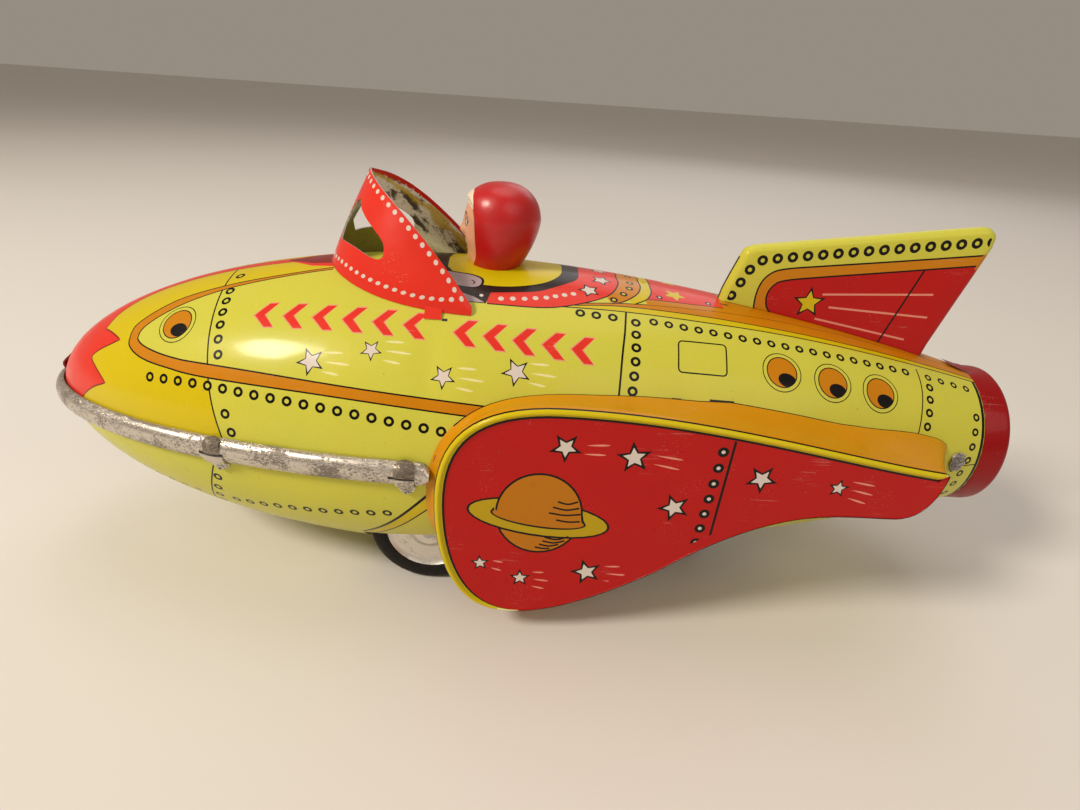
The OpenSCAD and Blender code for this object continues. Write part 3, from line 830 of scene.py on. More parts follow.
def hatch_and_ports(art):
    """Printed panel lines, the hatch, the three portholes and the rivets of the rear half."""
    art.stroke(curve([(17.9, 25.6), (17.6, 36), (17.2, 46), (16.8, 64)]), HEAVY)
    art.rivets([(10.1, 29.5), (12.8, 29.6), (15.6, 29.6)]
               + along_curve([(19.5, 30.6), (19.5, 44), (18.9, 63)], 7))
    art.rivets(along_curve([(22.6, 29.0), (39.6, 29.9), (58.4, 29.6), (69.6, 29.2)], 19), 0.8)
    art.rivets(spaced((74.3, 29.4), (82.4, 30.6), 4), 0.7)
    art.frame("black", "lime", on_body([(26.7, 36.0), (35.0, 34.8), (34.9, 48.5), (26.6, 48.9)]))
    for centre in ((44.8, 43.4), (54.2, 44.8), (63.4, 46.5)):
        porthole(art, centre, (0.34, 0.52))
    art.stroke(curve([(72.3, 24.5), (72.2, 40), (71.6, 55), (70.8, 72)]), THIN)
    art.rivets(along_curve([(74.0, 37), (73.4, 50), (72.8, 62.6)], 4), 0.8)
    art.rivets([(83.4 - (a - 53) * 0.02, a) for a in (53, 64, 75, 85.5)], 0.75)
    # the broad dark line at the end: print widened with painted shadow of the gap before the tail ring
    art.stroke([(END_LINE_Y, 14.0), (END_LINE_Y, 90)], BROAD)
    art.stroke([(79.5, 89.7), (85.2, 89.7)], 0.3)


def top_art(art):
    """The cockpit print round the pilot's head, and the striped ridge behind it."""
    # yellow and orange stripes that run back along both sides of the ridge
    end = TAIL_Y
    orange_top = curve([(9, 25.2), (17.7, 21.4), (30.3, 17.2), (38.2, 14.6), (50, 11.5), (70, 8.4),
                        (end, 6.5)])
    orange_low = curve([(9, 26.2), (17.6, 23.2), (32.6, 21.0), (42, 20.0), (56, 18.4), (72, 17.2),
                        (end, 16.5)])
    yellow_low = curve([(7, 27.6), (17.6, 26.0), (32.4, 24.6), (45, 22.9), (60, 21.6), (end, 20.4)])
    art.area("yellow", [(5, 28), (9, 25)] + orange_top[4:] + yellow_low[::-1])
    art.area("orange", orange_top + orange_low[::-1])
    art.stroke(orange_top, HAIR)
    art.stroke(orange_low, HAIR)
    art.stroke(yellow_low, THIN)
    # ridge between the stripes, with a red panel
    art.area("orange", [(20, 0)] + [p for p in orange_top if p[0] > 20][:-1] + [(end, 6.5), (end, 0)])
    panel = [(22.9, 0), (22.9, 8), (21.8, 16.3), (26.6, 15), (30.5, 13.9), (36, 11.8), (36, 0)]
    art.area("scarlet", panel)
    art.stroke(panel[2:-1], HAIR)
    art.star("yellow", on_body([(27.2, 8.8)])[0], 2.2, 10, edge=0.95)
    art.rivets([(24.2, 13.2), (33.3, 10.4)], 0.6, "white")
    # lobes behind the cockpit, from the outside in
    for ink, inner_y, edge in (
        ("yellow", 10, [(22.9, 0), (22.9, 6), (22.8, 11), (21.8, 16.5), (19.5, 21)]),
        ("orange", 10, [(20.9, 0), (21, 7.4), (20.1, 14.1), (17.7, 20.2), (15.5, 22.6)]),
        ("scarlet", -8, [(16.8, 0), (16.9, 8.4), (15.3, 17.2), (11.9, 23), (7, 27.6), (2.4, 29.4),
                         (-5.4, 29.8)]),
    ):
        lobe = arch(edge)
        art.area(ink, lobe + [(inner_y, 0)])
        art.stroke(lobe, FINE)
    art.rivets([(15.9, 20.1), (17.7, 15.4), (18.9, 10.2), (19.2, 4.6)], 0.72, "yellow")
    for y, a, turn in ((11.6, 16.4, 30), (13.9, 6.8, 75)):
        art.star("white", on_body([(y, a)])[0], 2.1, turn, edge=0.7, waist=0.5)
    for spot in on_body(along_curve([(-3.2, 26.9), (0.7, 25.8), (4.3, 24.0), (8.9, 20)], 8)):
        art.disc("white", spot, 0.5, 10)
    # dark well, pilot's sleeves and the yellow floor round the neck
    well = arch([(9.8, 0), (9.7, 8.3), (7.9, 13.6), (3.2, 20.8), (-1.5, 23.2), (-5, 24.4)])
    art.area("brown", well + [(-5.6, 29.8), (-13, 29.8), (-19, 22), (-23, 10), (-23, 0)])
    floor = arch([(6.9, 0), (6.7, 7), (5.2, 13), (2.6, 17.2), (-1.5, 20.2), (-6, 20.9), (-10, 19),
                  (-13.2, 10)])
    art.area("yellow", floor + [(-13.6, 0)])
    art.stroke(floor[:-10], THIN)
    sleeve = curve([(-15, 12), (-11.5, 13.6), (-8.6, 14.6), (-6.7, 16.8), (-6.5, 20.5), (-7.6, 22.8),
                    (-10.2, 22.6), (-15, 21)], 5)
    art.area("black", sleeve + [(-19, 21), (-19, 10)])
    cloth = curve([(-15, 12.7), (-11.4, 14.2), (-8.8, 15.2), (-7.1, 17.2), (-6.9, 20.3), (-7.9, 22.2),
                   (-10.3, 22), (-15, 20.3)], 5)
    art.area("lilac", cloth + [(-19, 20.3), (-19, 11)])
    art.stroke(curve([(-8.2, 20.6), (-8.0, 19.4), (-8.6, 18.4)]), 0.22)
    art.area("lilac", [(-10.5, 25), (-7.6, 27.2), (-5.8, 29.4), (-12, 29.4)])
    art.disc("white", on_body([(-6.5, 26.2)])[0], 0.35, 8)
    # slots for the tabs of the canopy, the wings and the fin
    for y0, y1, a in ((-12.3, -11.4, 37.9), (25.6, 27.2, 59.2), (32.0, 36.2, 58.6), (35.8, 37.2, 7.8),
                      (75.2, 76.8, 5.2)):
        art.area("slot", [(y0, a - 0.5), (y1, a - 0.5), (y1, a + 0.5), (y0, a + 0.5)])


def make_nose_tab():
    """A small rounded tongue of the sheet that comes up behind the bumper and curls forward over it."""
    shape = Shape()
    rows = []
    for k in np.linspace(0, 1, 9):
        z = 1.4 + 4.2 * k
        half = 2.5 * math.sqrt(max(0.0, 1 - max(0.0, (k - 0.3) / 0.7) ** 2.2))
        x = np.linspace(-half, half, 9)
        skin = WIDEST_Y - NOSE_LEN * np.sqrt(1 - (np.hypot(x, z) / BODY_R) ** (1 / NOSE_POWER))
        stand = 0.5 + 0.85 * math.sin(math.pi * min(1.0, 1.1 * k)) ** 2
        rows.append(np.stack([x, skin - stand, np.full(9, z)], -1))
    # the tab's dark red is red in painted shade, as the tab faces away from the light
    shape.add_grid(np.array(rows), "dark_red", flip=True)
    return shape.build("nose_tab", "casing", "litho_body", (), 0.35, back="dark_red", rim="dark_red")


def lower_art():
    art = BodyArt(mirror=360.0)
    hoop = curve([(-48.6, 90), (-50.6, 101), (-52.8, 115), (-54.6, 130), (-56, 150), (-56.4, 179.5)])
    art.stroke(hoop, LINE)
    art.rivets(along_curve([(-49.2, 98), (-50.6, 108), (-52.1, 119), (-53.2, 130)], 5))
    art.rivets(along_curve([(-49.1, 121.8), (-40.3, 117.5), (-30.7, 113.9), (-20.4, 110.2)], 11))
    art.rivets(along_curve([(-74, 128), (-66, 127), (-57.5, 126.5)], 7), 0.65)
    lead = curve([(-26.5, 130.5), (-20.5, 117), (-14.4, 102), (-10.4, 93)])
    trail = curve([(-24.4, 131), (-18.9, 119), (-14.2, 108), (-9, 97)])
    art.area("yellow", lead + trail[::-1])
    art.stroke(lead, 0.5)
    art.stroke(trail, FINE)
    # the broad dark line at the end: print widened with painted shadow of the gap before the tail ring
    art.stroke([(END_LINE_Y, 90), (END_LINE_Y, 179.5)], BROAD)
    art.stroke(curve([(18, 92), (18, 120), (18, 131)]), LINE)
    art.stroke(curve([(70.8, 92), (71.3, 130), (72, 179.5)]), THIN)
    art.rivets(along_curve([(24, 118), (45, 119), (66, 121)], 14), 0.75)
    art.rivets(along_curve([(73.5, 104), (74, 130), (74.4, 172)], 9), 0.75)
    art.rivets([(82.2, a) for a in (96.5, 107, 119.5, 132, 145, 158, 171)], 0.72)
    return art


def mouth_outline():
    """The opening under the body, from its edge in side view to angles round the skin."""
    edge = [(-26.5, -18.6), (-18, -17.1), (-9, -15.6), (-3.5, -17)] + [(y, -18.5) for y in (2, 20, 36, 52)]
    turned = [(y, math.degrees(math.acos(-z / float(body_radius(y))))) for y, z in edge]
    half = [(-27.1, 0), (-26.8, 28)] + turned + [(52.5, 14), (52.6, 0)]
    places = [(y, 180 - a) for y, a in half] + [(y, 180 + a) for y, a in half[::-1][1:-1]]
    return dense(body, on_body(places), 2.0)


def make_shell(name, node, angles, art, holes=()):
    """One of the two body pressings, between two angles from the top."""
    start, end = float(along(NOSE_Y)) + 0.25, float(along(TAIL_Y))
    low, high = angles
    outline = dense(body, [(start, low), (end, low), (end, high), (start, high)], 2.4)
    shape = Shape()
    shape.add_print(body, outline, art, lattice(1, end, low, high, 2.4, 5), holes)
    return shape.build(name, "casing", "litho_body", [node], TIN)


# ---------------------------------------------------------------- the wings

WING_FACE = 30.3
WING_TOE = math.radians(1.8)
WING_SHIFT = -WING_FACE * math.sin(WING_TOE)


def wing_outline():
    return (
        bezier([(8, 14.2), (-5.8, 14.2), (-11.75, 8.2), (-11.75, -4.5)], 16)
        + bezier([(-11.75, -4.5), (-11.75, -15), (-8.8, -26.4), (1, -26.4)], 16)
        + bezier([(1, -26.4), (9, -26.4), (18, -21.5), (26, -16.2)], 12)
        + bezier([(26, -16.2), (34.5, -9.4), (43, -3.6), (54, -3)], 12)
        + bezier([(54, -3), (58, -2.8), (61, -3), (64, -2.9)], 5)
        + bezier([(64, -2.9), (67.6, -2.7), (69.2, 0), (69.9, 3.8)], 9)
        + bezier([(69.9, 3.8), (70.3, 5.5), (70.3, 6.1), (68.8, 6.3)], 5)
        + bezier([(68.8, 6.3), (53, 8.2), (31, 14.2), (8, 14.2)], 24)
    )


def toed(x, y, z, side):
    """A point of the wing's own frame, turned to its toe-in, on the left (1) or right (-1) side."""
    c, s = math.cos(WING_TOE), math.sin(WING_TOE)
    return np.stack([side * (x * c - y * s), x * s + y * c, z + 0 * x], -1) + (0, WING_SHIFT, 0)


def wing_art(surface):
    art = Artwork(surface, "red")
    planet(art)
    for y, z, size, turn, slope, trail in [
        (8.8, 7.4, 2.7, 54, 0.03, (3.4, 3.6)), (19.6, 6.2, 2.9, 99, -0.16, (4.2, 4.2)),
        (27.2, -2.8, 2.8, 114, 0, ()), (-4, -15.9, 1.7, 95, -0.22, (1.8, 1.7)),
        (2.9, -18.8, 1.9, 92, -0.1, (2.2, 2.6, 2.0)), (14.2, -16.9, 2.8, 108, -0.05, (3.6, 4.4, 2.6)),
        (40.3, 3.4, 2.7, 59, 0, ()), (53, 2.4, 1.8, 85, -0.22, (3.2, 3.6, 3.8)),
    ]:
        art.streaks("pink", (y + size * 0.4, z - 0.2), trail, start=size * 0.7, slope=slope, width=0.36)
        art.star("white", (y, z), size * 1.03, turn, edge=0.62)
    art.line("black", [(35.0, 12.4), (34.0, -10.0)], 0.42)
    for spot in along_curve([(33.3, 8.0), (31.9, -9.6)], 7):
        art.disc("black", spot, 0.9)
        art.disc("white", spot, 0.33, 10)
    return art


def planet(art):
    """A ringed planet in three layers: the globe, the ring round it and the globe's upper half again."""
    y, z, r, tall = 5.4, -5.3, 7.0, 1.1
    tilt = math.radians(-7)

    def ellipse(a, b, start, end):
        out = []
        for t in np.radians(np.linspace(start, end, 30)):
            e, f = a * math.cos(t), b * math.sin(t)
            out.append((y + e * math.cos(tilt) - f * math.sin(tilt),
                        z - 0.8 + e * math.sin(tilt) + f * math.cos(tilt)))
        return out

    def globe(size, start, end):
        turns = np.radians(np.linspace(start, end, 36))
        return [(y + size * math.cos(t), z + size * tall * math.sin(t)) for t in turns]

    art.fill("black", globe(r + 0.2, 0, 350))
    art.fill("planet", globe(r - 0.14, 0, 350))
    art.fill("black", ellipse(11.9, 3.7, 0, 350))
    art.fill("planet_ring", ellipse(11.5, 3.3, 0, 350))
    for ink, grow in (("black", 0.17), ("planet", -0.17)):
        brim = ellipse(7.8 + grow, 1.75 + grow, 176 - 3 * grow, 364 + 3 * grow)
        dome = globe(r + grow, 2, 178)
        art.fill(ink, brim[:-1] + [(brim[-1][0] - 0.5, brim[-1][1] + 0.55 + grow)] + dome
                 + [(brim[0][0] + 0.5, brim[0][1] + 0.55 + grow)])
    for mark in (
        ((2.9, 2.6), (4.6, 2.2), (6.2, 2.75)), ((2.2, 1.5), (4.4, 1.05), (6.5, 1.5)),
        ((1.6, 0.35), (4.2, 0.0), (6.8, 0.3)), ((2.9, -1.0), (4.8, -1.3), (6.8, -1.15)),
        ((1.2, -4.6), (3.2, -5.0), (5.2, -4.3)), ((0.9, -5.4), (2.8, -5.7), (4.6, -5.2)),
        ((0.4, -6.1), (2.0, -6.4), (3.6, -6.0)), ((-0.3, -6.7), (1.0, -6.95), (2.2, -6.9)),
    ):
        art.line("black", curve([(y + u, z + v) for u, v in mark], 4), HEAVY)


def body_wall(y, z):
    """Where a wing flange meets the body: the skin's x, but never inside the wheel's room."""
    inside = np.clip(body_radius(y) ** 2 - z**2, 0, None)
    return np.maximum(np.sqrt(inside) + SKIN_GAP, np.where(z < -8, 21.6, 0))


# Across the rim of a wing pan, inwards from the face: inset from the outline, rise above the face, ink
WING_SECTION = [
    (1.9, 0.0, ""), (1.78, 0.0, "red"), (1.4, 0.0, "black"), (1.26, 0.1, "yellow"), (1.08, 0.36, "yellow"),
    (0.88, 0.54, "yellow"), (0.68, 0.58, "yellow"), (0.48, 0.5, "yellow"), (0.32, 0.34, "yellow"),
    (0.2, 0.14, "yellow"), (0.06, -0.12, "black"), (0.02, -0.4, "amber"), (0.0, -1.0, "amber"),
]
FLANGE_ROWS = 9


def bead_strength(y, z):
    """1 along the front and the top of a wing, fading to 0 along its belly and round its rear end."""
    belly = 1 - np.clip((y + 10) / 12, 0, 1) ** 1.6
    top = np.clip((70.1 - y) / 0.9, 0, 1)
    return np.where((z > 5.6) & (y > -9), top, np.where(z > -4, (y < 0) * 1.0, belly))


def flange_spread(y, z):
    """How far the flange moves up (climb) and to the tail (push) on its way in to the body."""
    front = (y < 4) & (z > -20)
    climb = np.where(front, np.interp(z, [0, 4, 8, 14], [0, 0.2, 0.1, -0.6]), 0.0)
    top = np.interp(y, [4, 14, 22, 30, 36, 47, 66, 68, 70.3], [-0.6, -0.4, 0, 0.3, 0.9, 0.9, 0.5, 0, -1.4])
    climb = np.where((z > 4) & (y >= 4), top, climb)
    ahead = np.interp(z, [-20, -14, -10, 2, 5, 9, 12, 14], [0, 1.7, 1.7, 1.4, 1.2, 0.7, 0.5, 0.3])
    rear_top = np.interp(y, [52, 60, 66, 70.3], [0, 1.0, 3.6, 8.0])
    rear_low = np.interp(y, [56, 64, 70.3], [0, 4, 8.4])
    push = np.where(y > 56, np.where(z < 3, rear_low, rear_top), np.where(front, -ahead, 0.0))
    return climb, push


def make_wing(side, name, node):
    outline = np.array(wing_outline())
    face = Surface(lambda u, v: toed(WING_FACE + 0 * u, u, v, side), outward=float(side))
    shape = Shape()
    inner = offset(outline, -WING_SECTION[0][0])
    low, high = np.min(inner, 0), np.max(inner, 0)
    shape.add_print(face, inner, wing_art(face), lattice(low[0], high[0], low[1], high[1], 6, 6))
    y, z = outline.T
    bead = bead_strength(y, z)
    inward = np.array(offset(outline, -1.0)) - outline
    columns = []
    for k, (inset, rise, ink) in enumerate(WING_SECTION):
        height = rise * (0.15 + 0.85 * bead) if rise > 0 else np.full(len(outline), rise)
        size = inset * (0.08 + 0.92 * bead)[:, None] if k else inset
        columns.append(np.stack([WING_FACE + height, *(outline + inward * size).T], -1))
    # the flange ends where its toed-in foot meets the body
    start = columns[-1]
    climb, push = flange_spread(y, z)
    y_end = (start[:, 1] + push) * math.cos(WING_TOE) + 26 * math.sin(WING_TOE) + WING_SHIFT
    wall = body_wall(y_end, start[:, 2] + climb)
    end_x = (wall + (start[:, 1] + push) * math.sin(WING_TOE)) / math.cos(WING_TOE)
    for k in range(1, FLANGE_ROWS + 1):
        t = min(1.0, k / (FLANGE_ROWS - 1)) * np.ones(len(outline))
        if k == FLANGE_ROWS - 1:  # a narrow last strip, printed as the joint's dark line
            t = 1 - 0.22 / np.maximum(start[:, 0] - end_x, 0.5)
        ring = outline + 0.3 * inward * np.sin(math.pi * t)[:, None]
        x = start[:, 0] + (end_x - start[:, 0]) * t
        spread = np.where(y > 56, t, 0.35 * t + 0.65 * t**2)
        columns.append(np.stack([x, ring[:, 0] + push * spread, ring[:, 1] + climb * spread], -1))

    def ink_of(row, column):
        if column + 1 >= len(WING_SECTION):
            return "brown" if column + 2 == len(columns) and z[row] > 3 and y[row] > -8 else "amber"
        if bead[row] < 0.06 and column < 10:
            return "red"
        if bead[row] < 0.5 and 2 < column < 9:
            return "pale"
        return WING_SECTION[column + 1][2]

    shape.add_grid(np.stack([toed(*c.T, side) for c in columns], 1), ink_of, closed=True, flip=side > 0)
    return shape.build(name, "casing", "litho_red", [node], TIN, rim="tin_plate")


# ---------------------------------------------------------------- the tail fin

FIN_FOLD = 1.25  # radius of the fold that joins the fin's two sides


def fin_outline():
    """Side view, from the foot of the leading edge over the top to the foot of the trailing edge."""
    return (
        [(36.0, 24.9), (37.3, 28.8), (38.5, 32.1)]
        + curve([(38.5, 32.1), (39.2, 33.5), (40.7, 34.3)], 3)[1:]
        + [(50, 35.7), (60, 37.1), (70, 38.6), (78.4, 39.8)]
        + curve([(78.4, 39.8), (80.6, 39.9), (82.1, 38.7), (82.2, 36.6)], 3)[1:]
        + [(80.6, 31.1), (78.7, 24.8), (77.45, 20.5), (76.3, 16.6)]
    )


def fin_foot(y):
    """Height of the skin where a side of the fin stands on the body."""
    return float(math.sqrt(body_radius(y) ** 2 - FIN_HALF**2) + SKIN_GAP)


def fin_art(surface):
    art = Artwork(surface, "lime")
    band = curve([(43.0, 20), (42.4, 24.4), (42.8, 27.6), (44.3, 29.7), (47, 30.7), (54, 31.7), (66, 33.3),
                  (82.6, 35.6)], 5)
    field = [(50.4, 18.5)] + curve([(47.4, 21), (45.0, 23.2), (44.4, 25.6), (45.2, 27.5), (47.2, 28.6),
                                    (54, 29.7), (66, 31.4), (82, 33.7)], 5)
    tail = [(84, 33), (80, 22), (78, 10)]
    art.fill("orange", band + tail + [(43.4, 12)])
    art.fill("red", field + tail + [(51, 12)])
    art.line("black", band, 0.3)
    art.line("black", field, 0.3)
    for ends in (((54.4, 26.5), (74.2, 27.8)), ((56.1, 24.2), (74.5, 23.5)), ((54.1, 21.9), (71.6, 19.0))):
        art.line("pink", ends, 0.36)
    art.line("black", [(71.2, 32.0), (66, 15.2)], HEAVY)
    art.star("yellow", (52.3, 24.8), 3.1, 20, edge=0.72)
    for spot in [(38.0, 25.2), (39.2, 27.7), (40.4, 30.1)] + along_curve(
            [(42.3, 31.9), (45.4, 32.5), (61.4, 34.9), (81.3, 37.7)], 16):
        art.rivet(spot, "lime", 0.95, 0.4)
    return art


def make_fin():
    """Two flat sides that stop short of the fold, and the rounded strip that joins them round the top."""
    rim = np.array(dense(Surface(None), fin_outline(), 1.6, closed=False))
    tangent = unit(np.gradient(rim, axis=0))
    inward = np.stack([tangent[:, 1], -tangent[:, 0]], -1)
    border = rim + inward * FIN_FOLD
    for end in (0, -1):
        border[end, 1] = fin_foot(border[end, 0])
    foot = [(float(y), fin_foot(y)) for y in np.linspace(border[-1, 0], border[0, 0], 20)[1:-1]]
    panel = [tuple(p) for p in border] + foot
    shape = Shape()
    for side in (1, -1):
        surface = Surface(lambda u, v, x=side * FIN_HALF: np.stack([x + 0 * u, u, v], -1),
                          outward=float(side))
        shape.add_print(surface, panel, fin_art(surface), lattice(36, 82, 17, 40, 8, 8))
    columns = []
    for a in np.radians(np.linspace(0, 180, 13)):
        ring = rim + inward * (FIN_FOLD * (1 - math.sin(a)))
        for end in (0, -1):
            ring[end, 1] = border[end, 1]
        columns.append(np.stack([np.full(len(ring), FIN_HALF * math.cos(a)), *ring.T], -1))

    def ink_of(row, column):
        y, z = rim[row]
        if y > 60 and z < 35.6:
            return "red" if z < 33.8 else "orange"
        return "brown" if y < 38.4 and column in (5, 6) else "lime"

    shape.add_grid(np.stack(columns, 1), ink_of)
    return shape.build("tail_fin_litho", "casing", "litho_red", ["tail_fin"])


# ---------------------------------------------------------------- canopy

# Cubic curves from the middle line to a rear corner: the open rear edge, and the base seen from above
REAR_EDGE = np.array([(0, -27.4, CANOPY_TOP), (11.5, -24, CANOPY_TOP - 1.8), (11, -17.5, CANOPY_TOP - 6),
                      (16.2, -7.3, 24)])
BASE_PLAN = np.array([(0, -34.8), (4.2, -34.6), (17.0, -30.6), (16.6, -6.9)])
CANOPY_U = 30.0
CANOPY_V = 16.0


def canopy_place(u, v):
    """u runs from the middle (0) to a corner, v from the base (0) to the rear edge; about in millimetres."""
    t, s = np.abs(u) / CANOPY_U, np.asarray(v) / CANOPY_V
    plan = bezier_at(BASE_PLAN, t)
    skin = np.sqrt(np.maximum(body_radius(plan[..., 1]) ** 2 - plan[..., 0] ** 2, 0)) + 0.12
    low = np.concatenate([plan, skin[..., None]], -1)
    high = bezier_at(REAR_EDGE, t)
    point = low + s[..., None] * (high - low)
    # the sheet bows outwards a little between its edges
    bow = 0.9 * np.sin(np.pi * np.clip(s, 0, 1)) * np.sin(np.pi * np.clip(t, 0, 1)) ** 0.5
    out = unit(np.stack([point[..., 0], point[..., 1] + 20, 0 * s], -1))
    point = point + bow[..., None] * out
    point[..., 0] *= np.sign(u) + (np.asarray(u) == 0)
    return point


def evenly(surface, path, count):
    """Points along a path that are evenly spaced on the bent sheet."""
    p = np.array(path)
    run = run_length(surface.place(p[:, 0], p[:, 1]))
    at = np.linspace(0, run[-1], count)
    return np.stack([np.interp(at, run, p[:, 0]), np.interp(at, run, p[:, 1])], -1)


def dot(art, centre, radius):
    """A white dot that is round on the bent sheet, whatever the stretch of the flat pattern there."""
    h = 0.05
    u, v = centre
    places = art.surface.place(u + np.array([h, -h, 0, 0]), v + np.array([0, 0, h, -h]))
    wide = np.linalg.norm(places[0] - places[1]) / (2 * h)
    tall = np.linalg.norm(places[2] - places[3]) / (2 * h)
    turns = np.arange(10) * math.pi / 5
    art.fill("white", [(u + radius * math.cos(a) / wide, v + radius * math.sin(a) / tall) for a in turns])


def canopy_back(point):
    """Ink of the canopy's inner side: red print folded over along the rear edge, worn primer elsewhere."""
    rear = bezier_at(REAR_EDGE, np.linspace(0, 1, 60))
    near = np.linalg.norm(rear - [abs(point[0]), point[1], point[2]], axis=1).min()
    return "scarlet" if near < 0.8 else "inside"


def make_canopy():
    surface = Surface(canopy_place)
    art = Artwork(surface, "scarlet")
    rim_u = 0.988 * CANOPY_U
    # as shares of the way from the middle to the corner, and from the base to the rear edge
    window = (
        curve([(0.118, 0.70), (0.098, 0.588), (0.085, 0.425)], 3)
        + [(0.19, 0.30)]
        + curve([(0.30, 0.345), (0.417, 0.39), (0.55, 0.425), (0.588, 0.48), (0.578, 0.56), (0.535, 0.64),
                 (0.45, 0.675), (0.36, 0.69), (0.25, 0.715)], 4)
        + [(0.16, 0.76)]
    )
    rear = [(0.04, 0.955), (0.3, 0.95), (0.6, 0.945), (0.8, 0.92), (0.87, 0.88), (0.902, 0.83)]
    base = [(0.036, 0.09), (0.192, 0.10), (0.4, 0.145), (0.617, 0.18), (0.792, 0.24), (0.87, 0.36),
            (0.915, 0.56), (0.94, 0.78)]
    holes = []
    for side in (1, -1):
        def flat(shares):
            return [(side * t * CANOPY_U, s * CANOPY_V) for t, s in shares]

        holes.append(dense(surface, flat(window), 1.0))
        for row, count in ((rear, 17), (base, 21)):
            for spot in evenly(surface, flat(curve(row, 8)), count):
                dot(art, spot, 0.42)
    outline = dense(surface, [(-rim_u, 0), (rim_u, 0), (rim_u, CANOPY_V), (-rim_u, CANOPY_V)], 1.2)
    shape = Shape()
    shape.add_print(surface, outline, art, lattice(-rim_u, rim_u, 0, CANOPY_V, 1.5, 1.5), holes)
    # a tab at each side that goes through a slot in the body
    for side in (1, -1):
        rows = []
        for y in np.linspace(-15.2, -12.4, 5):
            a = np.radians(np.linspace(33.8, 38.1, 5))
            r = float(body_radius(y)) + 0.5 - 0.35 * np.linspace(0, 1, 5) ** 2
            rows.append(np.stack([side * r * np.sin(a), np.full(5, y), r * np.cos(a)], -1))
        shape.add_grid(np.array(rows), "scarlet", flip=side > 0)
    return shape.build("canopy_litho", "casing", "litho_red", ["canopy"], 0.3, rim="tin_plate",
                       back_ink=canopy_back)


# ---------------------------------------------------------------- the pilot's head

HEAD_Y = -4.5
# Height above the body axis and radius, from the neck up to the crown
HEAD_PROFILE = np.array(curve([(25.6, 4.9), (27.2, 5.2), (28.6, 5.75), (31, 6.35), (34, 6.72), (36.6, 6.74),
                               (39, 6.05), (40.8, 4.5), (41.8, 2.4), (42.05, 0.02)]))
HEAD_RUN = run_length(HEAD_PROFILE)
FACE_LOW, FACE_HIGH, FACE_HALF = 27.4, 39.6, 50
EYE_Z, EYE_A = 35.2, 19


def head_place(u, v):
    """u is the distance up the profile, v the angle round the head from the face."""
    z, r = np.interp(u, HEAD_RUN, HEAD_PROFILE[:, 0]), np.interp(u, HEAD_RUN, HEAD_PROFILE[:, 1])
    turn = np.abs((np.asarray(v, float) + 180) % 360 - 180)

    def bulge(at_a, at_z, wide, high, rise):
        return rise * np.exp(-((turn - at_a) / wide) ** 2 - ((z - at_z) / high) ** 2)

    relief = (
        bulge(0, 33.6, 9, 1.0, 0.95) + bulge(0, 35.0, 7, 1.5, 0.35)  # nose
        - bulge(19, 35.3, 9, 0.9, 0.42) + bulge(20, 36.9, 14, 0.7, 0.18)  # eye sockets and brow
        + bulge(27, 32.6, 12, 1.6, 0.32)  # cheeks
        + bulge(0, 31.6, 13, 0.42, 0.3) - bulge(0, 31.15, 12, 0.22, 0.22)  # upper lip and the parting
        + bulge(0, 30.7, 10, 0.36, 0.24)  # lower lip
        + bulge(0, 28.9, 15, 1.0, 0.5)  # chin
        + bulge(0, 39.6, 34, 0.9, 0.55)  # fur brim of the helmet
    )
    # the helmet stands a little proud of the face, is full at the back and narrows there towards the neck
    proud = 0.42 / (1 + np.exp(-(turn - face_edge(z)) * 0.8)) * np.clip(r / 3, 0, 1) - 0.42
    nape = np.exp(-((turn - 180) / 75) ** 2) * np.clip((36.4 - z) / 9.4, 0, 1) ** 1.4
    radius = r + np.where(r > 1, relief, 0) + proud + bulge(180, 35, 60, 5, 0.25) - 2.0 * nape
    radius = np.maximum(radius, 0.02)
    b = np.radians(v)
    return np.stack([radius * np.sin(b), HEAD_Y - radius * np.cos(b), z + 0 * r], -1)


def face_edge(z):
    """Half-width of the face opening, in degrees round the head, at height z."""
    t = np.clip((np.asarray(z) - FACE_LOW) / (FACE_HIGH - FACE_LOW), 0, 1)
    return FACE_HALF * np.clip(1 - np.abs(2 * t - 1) ** 4, 0, 1) ** 0.5


